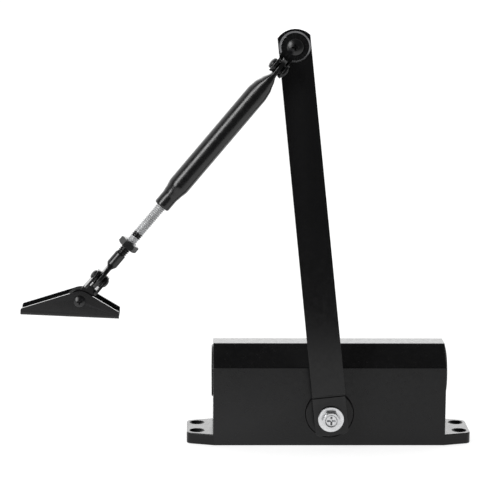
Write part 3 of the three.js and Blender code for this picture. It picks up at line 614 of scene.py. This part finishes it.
def bearing_ring(side, notches):
    """The threaded ring that holds a bearing in, with spanner notches in its face where it has any."""
    outer, inner = SEAT["ring"] - 0.18, SHAFT_SEAL_RADIUS + 0.3
    low, face = SEAT["end"] + 0.6, BODY["half_width"] + 1
    ring = lathe([
        (side * low, inner), (side * low, outer), (side * (face - 0.5), outer), (side * face, outer - 0.5),
        (side * face, inner + 0.4), (side * (face - 0.4), inner),
    ], sides=128)
    ends = sorted((side * (face - NOTCH["depth"]), side * (face + 1)))
    places = turned([(NOTCH["place"] * cos(t), NOTCH["place"] * sin(t)) for t in around(notches)], pi / 4)
    return cut(ring, *[bar(NOTCH["radius"], *ends, "Y", at, 24) for at in places])


def lip_seal(side):
    outer, inner = SHAFT_SEAL_RADIUS, SHAFT["radius"] + 0.15
    low, face = SEAT["end"] + 0.6, BODY["half_width"] + 0.5
    return lathe([
        (side * low, inner + 0.6), (side * low, outer), (side * (face - 0.3), outer),
        (side * face, outer - 0.3), (side * face, inner + 1.2), (side * (face - 0.6), inner + 0.8),
        (side * (face - 1.4), inner), (side * (face - 1.9), inner + 0.5),
    ])


def bearing_shell(side):
    """The thin cup around a row of needle rollers."""
    low, high = sorted((side * (SEAT["end"] - 4.2), side * SEAT["end"]))
    outer, lip, wall = SEAT["bearing"] - 0.3, SHAFT["radius"] + 1.5, SEAT["bearing"] - 1.6
    return lathe([
        (low, lip), (low, outer - 0.4), (low + 0.4, outer), (high - 0.4, outer), (high, outer - 0.4),
        (high, lip), (high - 0.5, lip), (high - 0.5, wall), (low + 0.5, wall), (low + 0.5, lip),
    ])


def needle_rollers(side):
    low, high = sorted((side * (SEAT["end"] - 3.6), side * (SEAT["end"] - 0.6)))
    radius, tip = NEEDLE["radius"], NEEDLE["end"]
    middle = SHAFT["radius"] + radius + 0.5
    mesh_data = bmesh.new()
    for angle in around(NEEDLE["count"]):
        x, z = middle * cos(angle), middle * sin(angle)
        add_shell(mesh_data, [
            [(x + r * cos(t), y, z + r * sin(t)) for t in around(16)]
            for y, r in ((low, tip), (low + 0.3, radius), (high - 0.3, radius), (high, tip))
        ])
    return solid(mesh_data)


def gear_outline():
    """The pinion's involute teeth, each thinned by half of the backlash."""
    pitch, pressure, teeth = GEAR["module"] * GEAR["teeth"] / 2, GEAR["pressure"], GEAR["teeth"]
    base, tip, root = pitch * cos(pressure), pitch + ADDENDUM, pitch - DEDENDUM
    at_pitch = pi / (2 * teeth) - GEAR["backlash"] / (4 * pitch) + tan(pressure) - pressure
    radii = [root] + [base + (tip - base) * k / 6 for k in range(7)]

    def half_tooth(radius):
        angle = acos(min(1, base / radius))
        return at_pitch - tan(angle) + angle

    points = []
    for turn in around(teeth):
        middle = pi / 2 + turn
        rising = [(r, middle - half_tooth(max(r, base))) for r in radii]
        falling = [(r, middle + half_tooth(max(r, base))) for r in reversed(radii)]
        points += [(r * cos(t), r * sin(t)) for r, t in rising + falling]
    return points


def pinion_shaft():
    radius, front, rear = SHAFT["radius"], SHAFT["front"], SHAFT["rear"]
    shaft = lathe([
        (-front, 0), (-front, radius - 0.4), (-front + 0.4, radius), (rear - 0.4, radius),
        (rear, radius - 0.4), (rear, 0),
    ])
    gear = prism(gear_outline(), -GEAR["half"], GEAR["half"])
    lean = ARM_DIRECTION.angle(Vector((0, 0, 1)))
    half = SHAFT["square"] / 2
    corners = turned([(-half, -half), (half, -half), (half, half), (-half, half)], lean)
    outline = rounded([(*point, 0.8) for point in corners])
    square = prism(outline, -SHAFT["end"], SHAFT["rear_end"], edge=0.4)
    bore = bar(SCREW_RADIUS + 0.1, -SHAFT["end"] - 1, -SHAFT["end"] + BOLT["shank"], sides=48)
    return cut(join(shaft, gear, square), bore)


def shaft_cap():
    """The moulded cap over the unused end of the shaft."""
    start, radius, inner = BODY["half_width"] + 1.1, CAP["radius"], CAP["radius"] - CAP["wall"]
    top, ceiling, soft = start + CAP["height"], start + CAP["hollow"], 2
    angles = [pi / 16 * k for k in range(9)]
    crown = [(top - soft + soft * sin(t), radius - soft + soft * cos(t)) for t in angles]
    return lathe([
        (ceiling, 0), (ceiling, inner - 0.5), (ceiling - 0.5, inner), (start, inner), (start, radius - 0.3),
        (start + 0.3, radius), *crown, (top + 0.1, 0),
    ])


def add_pinion():
    def add(made, name, slot, node, body="body"):
        add_piece(made, name, body, slot, AT_PINION, [node])

    for name, side, notches in (("front", -1, 0), ("rear", 1, NOTCH["count"])):
        add(bearing_ring(side, notches), f"{name}_ring", "body_paint", f"{name}_bearing_ring")
        add(lip_seal(side), f"{name}_lip_seal", "seal_rubber", f"{name}_shaft_seal")
        add(bearing_shell(side), f"{name}_bearing_shell", "steel", f"{name}_pinion_bearing")
        add(needle_rollers(side), f"{name}_needle_rollers", "steel", f"{name}_pinion_bearing")
    add(pinion_shaft(), "pinion_shaft", "steel", "pinion", "arm")
    add(shaft_cap(), "shaft_cap", "cap_plastic", "rear_shaft_cap")


# ---- inside the bore


def coil_spring():
    """The closing spring: a helix of round wire whose end turns are closed up."""
    wire, outer = SPRING["wire"], SPRING["outer"]
    coil = outer - wire
    left, right = SPRING["left"] + wire, SPRING["right"] - wire
    turns, steps, sides = SPRING["turns"], SPRING["turns"] * 40, 14

    def centre(share):
        turn = share * turns * 2 * pi
        ease = share - SPRING["closing"] * sin(2 * pi * share) / (2 * pi)
        return Vector((left + (right - left) * ease, coil * cos(turn), BORE["z"] + coil * sin(turn)))

    sections = []
    for k in range(steps + 1):
        share = k / steps
        ahead = (centre(share + 1e-4) - centre(share - 1e-4)).normalized()
        turn = share * turns * 2 * pi
        out = Vector((0, cos(turn), sin(turn)))
        side = ahead.cross(out).normalized()
        sections.append([centre(share) + out * wire * cos(t) + side * wire * sin(t) for t in around(sides)])
    return loft(sections)


def add_bore():
    finish_cad_node("piston", "steel", 0.15)
    finish_cad_node("check_valve_retainer", "steel", 0.1)
    low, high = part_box("check_ball")
    middle, radius = (low + high) * 500, (high.x - low.x) * 500
    angles = [pi * k / 24 for k in range(1, 24)]
    between = [(middle.x - radius * cos(t), radius * sin(t)) for t in angles]
    ball = lathe([(middle.x - radius, 0), *between, (middle.x + radius, 0)], "X", (0, BORE["z"]), 48)
    add_piece(ball, "valve_ball", "check_ball", "steel", AT_BODY, ["check_ball"])
    spring = add_piece(coil_spring(), "coil_spring", "body", "spring_steel", AT_BODY, ["closing_spring"])
    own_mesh(spring)


# ---- main arm


def arm_strip():
    """The flat strip with its forward step near the hub, its crowned tip and its holes."""
    hub, tip, thick, crown, back = (ARM[k] for k in ("hub", "tip", "thick", "crown", "back"))
    front_step, rear_step, rise, offset = (STEP[k] for k in ("front", "rear", "rise", "offset"))
    reach, fore = ARM_LENGTH + 20, back - thick
    side = rounded([
        (back, -20, 0), (back, rear_step - rise, 1.6), (back - offset, rear_step, 1.2),
        (back - offset, reach, 0), (fore - offset, reach, 0), (fore - offset, front_step + rise, 0.7),
        (fore, front_step, 0.2), (fore, -20, 0),
    ])
    shoulder = ARM_LENGTH + ARM["shoulder"]
    curve = (tip ** 2 + crown ** 2) / (2 * crown)
    half = asin(tip / curve)
    top = arc(0, shoulder + crown - curve, curve, pi / 2 - half, pi / 2 + half, 30)
    corner, low = HUB["corner"], HUB["corner"] - HUB["end"]
    outline = [(hub, 0)] + top + [(-hub, 0)] + arc(corner - hub, low, corner, pi, 1.5 * pi, 12)
    outline += arc(hub - corner, low, corner, 1.5 * pi, 2 * pi, 12)
    strip = overlap(prism(side, -hub - 5, hub + 5, "X"), prism(outline, -60, 0))
    strip = break_edges(strip, ARM["edge"], 40, 3)
    square = SHAFT["square"] / 2 + 0.15
    return cut(
        strip,
        block(-hub - 5, hub + 5, fore - 0.5, fore + 1.1, front_step - STEP["crease"], front_step - 0.05),
        block(-square, square, -60, 0, -square, square),
        bar(SCREW_RADIUS + 0.2, -60, 0, "Y", (0, ARM_LENGTH), 48),
    )


def hex_head(across, seat, top, at=(0, 0), axis="Y", chamfer_seat=False, hole=0.0, turn=0.0):
    """A hexagon head or nut whose corners are cut by a cone, with the curved edges that this leaves."""
    flat, face, angles = across / 2, across / 2 - 0.25, around(96)
    toward = 1 if top > seat else -1
    reach = [flat / cos((t - turn + pi / 6) % (pi / 3) - pi / 6) for t in angles]
    drops = [max(0.0, r - flat + 0.25) * tan(radians(30)) for r in reach]

    def level(height, radius):
        return [(height, radius)] * len(angles)

    rings = [
        level(seat, face if chamfer_seat else flat * 0.9),
        [(seat + toward * d if chamfer_seat else seat, r) for d, r in zip(drops, reach)],
        [(top - toward * d, r) for d, r in zip(drops, reach)],
        level(top, face),
    ]
    if hole:
        rings += [level(top, hole + 0.5), level(top - toward * 0.5, hole)]
        rings += [level(seat + toward * 0.5, hole), level(seat, hole + 0.5)]
    return loft([
        [oriented(axis, h, at[0] + r * cos(t), at[1] + r * sin(t)) for (h, r), t in zip(ring, angles)]
        for ring in rings
    ], closed=bool(hole))


def arm_bolt():
    """The bolt in the end of the pinion: a hexagon head with a cross recess in a dish."""
    seat = ARM["back"] - ARM["thick"] - WASHER["thick"] - 0.02
    top = seat - BOLT["head"]
    floor = top + BOLT["dish_depth"]
    head = hex_head(BOLT["across"], seat, top, turn=pi / 6)
    shank = bar(SCREW_RADIUS - 0.05, seat - 1, seat + BOLT["shank"], sides=48)
    dish = lathe([(top - 1, 0), (top - 1, BOLT["dish"]), (floor, BOLT["dish_floor"]), (floor, 0)], sides=64)
    return cut(join(head, shank), dish, cross_recess(top + 0.5, 2.2, 2.7))


def domed_screw(seat, tail, size, at=(0, 0)):
    """A round-headed shouldered screw with a cross recess and a peened end."""
    shank, head, height, flare, reach = (size[k] for k in ("shank", "head", "height", "flare", "reach"))
    top, crown = seat - height, height * 0.55
    profile = [(top + crown * (k / 12) ** 2, head * 0.97 * k / 12) for k in range(13)]
    profile += [(top + crown + 0.25, head), (seat - 0.3, head), (seat, head - 0.2), (seat, shank)]
    profile += [(tail, shank), (tail, flare), (tail + 0.35, flare)]
    profile += [(tail + 1.1, flare * 0.78), (tail + 1.3, 0)]
    return cut(lathe(profile, "Y", at, 72), cross_recess(top, 1.9, reach, *at))


def add_main_arm():
    front = ARM["back"] - ARM["thick"]
    washer = tube_ring(WASHER["outer"], WASHER["inner"], front - WASHER["thick"], front - 0.02, edge=0.3)
    add_piece(washer, "flat_washer", "arm", "zinc", AT_PINION, ["arm_washer"])
    add_piece(arm_bolt(), "hexagon_bolt", "arm", "zinc", AT_PINION, ["arm_bolt"])
    add_piece(arm_strip(), "bent_arm", "arm", "arm_paint", AT_ARM, ["main_arm"])
    seat = FORK["back"] - FORK["sheet"] - 0.02
    tail = ARM["back"] - STEP["offset"] + 0.02
    screw = domed_screw(seat, tail, ELBOW_SCREW, (0, ARM_LENGTH))
    add_piece(screw, "elbow_pivot_screw", "arm", "black_zinc", AT_ARM, ["elbow_screw"])


# ---- forks and rivets


def stamped_fork(size):
    """A disc with a rolled rim, whose web carries two ears bent forward."""
    sheet, half, back, front, web = (FORK[k] for k in ("sheet", "half", "back", "front", "web"))
    radius, rivet, face = size["disc"], size["rivet"], back - sheet
    inner, soft = radius - RIM["wide"], 0.2
    disc = lathe([
        (back, 0), (back, radius - 0.08), (face + RIM["deep"], radius), (face + soft, inner + soft),
        (face + 0.07, inner), (face, inner - soft), (face, 0),
    ])
    side = half - 0.05
    web = prism(rounded([(0, -side, 0), (web, -side, 0.3), (web, side, 0.3), (0, side, 0)]),
                face + 0.03, back - 0.03, "Y", 0.25)
    root, end = EAR_ROOT - 1, rivet + FORK["margin"]
    outline = rounded([
        (root, back - 0.06, 0.3), (EAR_ROOT + 1, back - 0.06, 2), (end, face - 3, 3), (end, front, 4.6),
        (EAR_ROOT - 0.5, front, 4), (root, face - 3, 1),
    ], 10)
    ears = [prism(outline, low, low + sheet, "Z", 0.35) for low in (-half, half - sheet)]
    outer = half - sheet + 0.4
    pads = [bar(PAD["radius"], low, high, "Z", (rivet, FOREARM_Y))
            for low, high in ((-outer, -PAD["face"]), (PAD["face"], outer))]
    return cut(
        join(disc, web, *ears, *pads),
        bar(SCREW_RADIUS + 0.15, face - 1, back + 1, sides=48),
        bar(RIVET_RADIUS + 0.1, -half - 1, half + 1, "Z", (rivet, FOREARM_Y), 48),
    )


def round_rivet(size):
    """A rivet across a fork, with a round head at each end."""
    seat, head, dome = FORK["half"], size["head"], size["dome"]
    angles = [pi / 2 * k / 8 for k in range(8)]
    end = [(seat + 0.02, RIVET_RADIUS), (seat + 0.02, head - 0.1)]
    end += [(seat + 0.25 + (dome - 0.25) * sin(t), head * cos(t)) for t in angles] + [(seat + dome, 0)]
    return lathe([(-h, r) for h, r in reversed(end)] + end, "Z", (size["rivet"], FOREARM_Y), 64)


# ---- forearm


def oval(x, half_y, half_z, power):
    """A superellipse across X: power 2 is an ellipse, more makes it squarer."""
    def bulged(value):
        return abs(value) ** (2 / power) * (1 if value >= 0 else -1)

    return [(x, FOREARM_Y + half_y * bulged(cos(t)), half_z * bulged(sin(t))) for t in around(64)]


def blended(stations, x):
    """Widths at a place along a bar, smoothly blended between stations of (x, half_y, half_z, power)."""
    for before, after in zip(stations, stations[1:]):
        if before[0] <= x <= after[0]:
            share = (x - before[0]) / (after[0] - before[0])
            mixed = 0.5 * (share + share * share * (3 - 2 * share))
            return [a + (b - a) * mixed for a, b in zip(before[1:], after[1:])]
    return list(stations[-1][1:])


def flat_bar(stations, rivet, toward, step=0.8):
    """Sections of a bar from its first station to its last, then round the eye about a rivet to the tip."""
    low, high = stations[0][0], stations[-1][0]
    count = int((high - low) / step)
    places = [low + (high - low) * k / count for k in range(count + 1)]
    sections = [(toward * x, blended(stations, x)) for x in places]
    flat = stations[-1][2]
    start = asin((high - toward * rivet) / EYE_RADIUS)
    for k in range(1, 17):
        angle = start + (pi / 2 - start) * k / 16
        wide = max(EYE_RADIUS * cos(angle), 0.3)
        thin = flat if k < 16 else flat - 0.3
        sections.append((rivet + toward * EYE_RADIUS * sin(angle), (wide, thin, 6)))
    return [oval(x, *sizes) for x, sizes in sections]


def forearm_tube():
    """A tube swaged down to a neck at its mouth and pressed flat around the elbow's rivet."""
    radius, neck, mouth = TUBE["radius"], TUBE["neck"], TUBE["mouth"]
    rivet = FOREARM_LENGTH - ELBOW_FORK["rivet"]
    stations = [
        (mouth, neck - 0.3, neck - 0.3, 2), (mouth + 0.4, neck, neck, 2), (mouth + 7.5, neck, neck, 2),
        (mouth + 11, neck + 0.5, neck + 0.5, 2), (mouth + 16, radius, radius, 2),
        (rivet - 20, radius, radius, 2), (rivet - 15, radius + 0.2, radius - 0.7, 2.2),
        (rivet - 10, radius + 0.5, radius - 2.4, 2.6),
        (rivet - 5, EYE_RADIUS - 0.3, TUBE["flat"] + 0.3, 3.6),
        (rivet - 1.5, EYE_RADIUS * cos(asin(1.5 / EYE_RADIUS)), TUBE["flat"], 6),
    ]
    made = loft(flat_bar(stations, rivet, 1))
    bore = lathe([
        (mouth - 1, 0), (mouth - 1, TUBE["bore"] + 1.5), (mouth + 0.6, TUBE["bore"]),
        (mouth + TUBE["depth"], TUBE["bore"]), (mouth + TUBE["depth"], 0),
    ], "X", (FOREARM_Y, 0), 48)
    return cut(made, bore, bar(RIVET_RADIUS + 0.1, -6, 6, "Z", (rivet, FOREARM_Y), 48))


def screw_thread(low, high):
    """A right-hand thread as one closed skin. Its rows of vertices follow the helix."""
    pitch, crest, root = (THREAD[k] for k in ("pitch", "crest", "root"))
    profile = [(0.06, root), (0.42, crest), (0.58, crest), (0.94, root)]
    sides, per_turn = 32, len(profile)
    count = int((high - low) / pitch)
    mesh_data = bmesh.new()
    grid = []
    for i in range((count + 1) * per_turn + 1):
        turn, step = divmod(i, per_turn)
        share, radius = profile[step]
        grid.append([
            mesh_data.verts.new((low + (turn + share + k / sides) * pitch,
                                 FOREARM_Y + radius * cos(t), radius * sin(t)))
            for k, t in enumerate(around(sides))
        ])
    last = count * per_turn
    for i in range(last):
        for k in range(sides - 1):
            mesh_data.faces.new((grid[i][k], grid[i][k + 1], grid[i + 1][k + 1], grid[i + 1][k]))
        after = i + per_turn
        mesh_data.faces.new((grid[i][-1], grid[after][0], grid[after + 1][0], grid[i + 1][-1]))
    for end, x in ((0, low), (last, low + (count + 1) * pitch)):
        rim = grid[end] + [grid[end + step][0] for step in range(per_turn, 0, -1)]
        middle = mesh_data.verts.new((x, FOREARM_Y, 0))
        for first, second in zip(rim, rim[1:] + rim[:1]):
            mesh_data.faces.new((first, second, middle))
    loose = [v for v in mesh_data.verts if not v.link_faces]
    bmesh.ops.delete(mesh_data, geom=loose, context="VERTS")
    return solid(mesh_data)


def adjusting_rod():
    """A forged flat end around the shoe's rivet, a short round shank, and the thread."""
    rivet, shank, start = SHOE_FORK["rivet"], ROD["shank"], ROD["thread"]
    stations = [
        (-start, shank - 0.3, shank - 0.3, 2), (0.4 - start, shank, shank, 2),
        (-ROD["round"], shank, shank, 2), (-ROD["tongue_end"], 4.7, ROD["flat"] + 0.2, 3),
        (-rivet - 4.5, EYE_RADIUS - 0.6, ROD["flat"], 5),
        (-rivet - 1.5, EYE_RADIUS * cos(asin(1.5 / EYE_RADIUS)), ROD["flat"], 6),
    ]
    made = join(loft(flat_bar(stations, rivet, -1, 0.5)), screw_thread(start - 3, ROD["end"] - 1.3))
    return cut(made, bar(RIVET_RADIUS + 0.1, -6, 6, "Z", (rivet, FOREARM_Y), 48))


def paint_rod(rod):
    """Paints the forged end, the first threads and a narrow band; the other threads stay bright."""
    rod.data.materials[0] = DULL_ZINC
    rod.data.materials.append(LOOKS["tube_paint"])
    to_local = (TO_METRES @ AT_FOREARM).inverted()
    low, high = ROD_PAINT["band"]
    for face in rod.data.polygons:
        x = (to_local @ face.center).x
        face.material_index = int(x < ROD_PAINT["nut"] or low < x < high)


def add_fork(name, size, body, place):
    """A stamped fork and its rivet."""
    fork = add_piece(stamped_fork(size), f"{name}_stamping", body, "arm_paint", place, [f"{name}_fork"])
    add_piece(round_rivet(size), f"{name}_round_rivet", body, "black_zinc", place, [f"{name}_rivet"])
    return fork


def add_forearm():
    elbow, rim = add_fork("elbow", ELBOW_FORK, "elbow", AT_ELBOW), ELBOW_FORK["disc"]
    # the rim's forward slope gets bright bare metal, a painted highlight on the rim
    add_rim_highlight_metal(elbow, AT_ELBOW.translation / 1000, rim - RIM["wide"] - 0.05, rim + 0.05)
    add_piece(forearm_tube(), "pressed_tube", "forearm", "tube_paint", AT_FOREARM, ["forearm_tube"])
    paint_rod(add_piece(adjusting_rod(), "forged_rod", "rod", "zinc", AT_FOREARM, ["adjusting_rod"]))
    end = NUT["start"] + NUT["thick"]
    nut = hex_head(NUT["across"], NUT["start"], end, (FOREARM_Y, 0), "X", True, NUT["bore"])
    add_piece(nut, "hexagon_nut", "nut", "tube_paint", AT_FOREARM, ["lock_nut"])
    add_fork("shoe", SHOE_FORK, "shoe_swivel", AT_FOREARM)


# ---- shoe


def ear_outline():
    left, right, bottom = (SHOE[k] for k in ("left", "right", "bottom"))
    return rounded([
        (left, bottom, 0.3), (right, bottom, 0.3), (right, bottom + EAR["right"], 0.8),
        (EAR["apex_x"], EAR["apex"], EAR["apex_radius"]), (left, bottom + EAR["left"], 1.6),
    ], 12)


def shoe_channel():
    """A channel bent from one sheet: two ears and the base between them."""
    left, right, bottom, sheet, front = (SHOE[k] for k in ("left", "right", "bottom", "sheet", "front"))
    back, high, floor = front + SHOE["width"], 14, bottom + sheet
    outer = rounded([(front, high, 0), (front, bottom, 2), (back, bottom, 2), (back, high, 0)])
    inner = rounded([
        (back - sheet, high + 1, 0), (back - sheet, floor, 0.7), (front + sheet, floor, 0.7),
        (front + sheet, high + 1, 0),
    ])
    channel = cut(prism(outer, left - 1, right + 1, "X"), prism(inner, left - 2, right + 2, "X"))
    made = overlap(channel, prism(ear_outline(), front - 1, back + 1))
    middle = (front + back) / 2
    made = cut(made, bar(RIVET_RADIUS + 0.15, front - 1, back + 1, sides=48))
    for x in SHOE_HOLE["places"]:
        made = cut(made, bar(SHOE_HOLE["radius"], bottom - 1, floor + 1, "Z", (x, middle), 48))
    return break_edges(made, EAR["edge"], 50)


def add_shoe():
    front, back = SHOE["front"], SHOE["front"] + SHOE["width"]
    add_piece(shoe_channel(), "shoe_channel", "shoe", "arm_paint", AT_SHOE, ["shoe_bracket"])
    pin = domed_screw(front - 0.02, back + 0.02, PIVOT_SCREW)
    add_piece(pin, "shoe_pivot_screw", "shoe", "black_zinc", AT_SHOE, ["shoe_pin"])
    low, high = FORK["back"] + 0.15, back - SHOE["sheet"] - 0.15
    sleeve = tube_ring(SPACER_RADIUS, RIVET_RADIUS + 0.15, low, high, edge=0.3, sides=64)
    add_piece(sleeve, "spacer_sleeve", "shoe", "black_zinc", AT_SHOE, ["shoe_spacer"])


# ---- stage, light and camera


def add_stage():
    """A pale tabletop, nearly shadowless. In front it ends, where the black paint reflects a dim room."""
    front, corner, left_front, far = -0.345, -0.1, -0.52, 4
    outline = [(-far, left_front), (corner, left_front), (corner, front), (far, front)]
    outline += [(far, 7), (-far, 7)]
    mesh_data = bmesh.new()
    mesh_data.faces.new([mesh_data.verts.new((x, y, -0.0002)) for x, y in outline])
    mesh = bpy.data.meshes.new("studio_floor")
    mesh_data.to_mesh(mesh)
    mesh_data.free()
    material, _, shader = new_material("pale_floor", (0.4, 0.4, 0.4), 0.9, 0.0, 0.0)
    shader.inputs["Emission Color"].default_value = (1, 1, 1, 1)
    shader.inputs["Emission Strength"].default_value = 0.78
    mesh.materials.append(material)
    floor = add_object("studio_floor", mesh)


def add_softbox():
    """A tall soft light on the left in front, aimed at the middle of the object."""
    target, distance = Vector((-0.07, -0.04, 0.15)), 1.6
    azimuth, elevation = radians(-44), radians(21)
    data = bpy.data.lights.new("key_softbox", "AREA")
    data.shape = "RECTANGLE"
    data.size, data.size_y, data.energy = 0.55, 1.2, 21
    light = add_object("key_softbox", data)
    level = cos(elevation)
    direction = Vector((sin(azimuth) * level, -cos(azimuth) * level, sin(elevation)))
    light.location = target + direction * distance
    light.rotation_mode = "QUATERNION"
    light.rotation_quaternion = direction.to_track_quat("Z", "Y")


def add_world():
    """A pale room: brightest behind the object, dim in front of it. The background itself is white."""
    world = bpy.data.worlds.new("studio")
    bpy.context.scene.world = world
    world.use_nodes = True
    tree = world.node_tree
    direction = add_node(tree, "TexCoord").outputs["Generated"]
    depth = add_node(tree, "SeparateXYZ", {"Vector": direction}).outputs["Y"]
    ramp = add_node(tree, "FloatCurve", {"Value": spread(tree, depth, 0, 1, -1, 1)})
    levels = [(0, 0.1), (0.45, 0.13), (0.51, 0.8), (0.6, 1.0), (0.85, 1.6), (1, 3.0)]
    brightest = levels[-1][1]
    ramp.mapping.use_clip = False
    points = ramp.mapping.curves[0].points
    points[0].location = (levels[0][0], levels[0][1] / brightest)
    points[1].location = (levels[-1][0], 1)
    for place, level in levels[1:-1]:
        points.new(place, level / brightest)
    for point in points:
        point.handle_type = "VECTOR"
    ramp.mapping.update()
    scaled = add_node(tree, "Math", {0: ramp.outputs["Value"], 1: brightest}, operation="MULTIPLY")
    seen = add_node(tree, "LightPath").outputs["Is Camera Ray"]
    strength = add_node(tree, "Mix", {"Factor": seen, "A": scaled.outputs["Value"], "B": 1.0})
    sky = tree.nodes["Background"]
    sky.inputs["Color"].default_value = (1, 1, 1, 1)
    tree.links.new(strength.outputs["Result"], sky.inputs["Strength"])


def add_camera():
    """A long lens in front of the arm side, looking a little down."""
    pitch, yaw, roll = radians(10.51), radians(1.58), radians(0.42)
    forward = Vector((sin(yaw) * cos(pitch), cos(yaw) * cos(pitch), -sin(pitch)))
    level = Vector((cos(yaw), -sin(yaw), 0))
    upward = level.cross(forward)
    right = level * cos(roll) + upward * sin(roll)
    up = upward * cos(roll) - level * sin(roll)
    data = bpy.data.cameras.new("camera")
    data.sensor_width, data.lens = 36, 151.2
    camera = add_object("camera", data)
    matrix = Matrix((right, up, -forward)).transposed().to_4x4()
    matrix.translation = Vector((-0.08526, -1.28594, 0.35903))
    camera.matrix_world = matrix
    bpy.context.scene.camera = camera


add_camera()
add_stage()
add_world()
add_softbox()
add_housing()
add_pinion()
add_bore()
add_main_arm()
add_forearm()
add_shoe()
bpy.context.scene.view_settings.view_transform = "Standard"
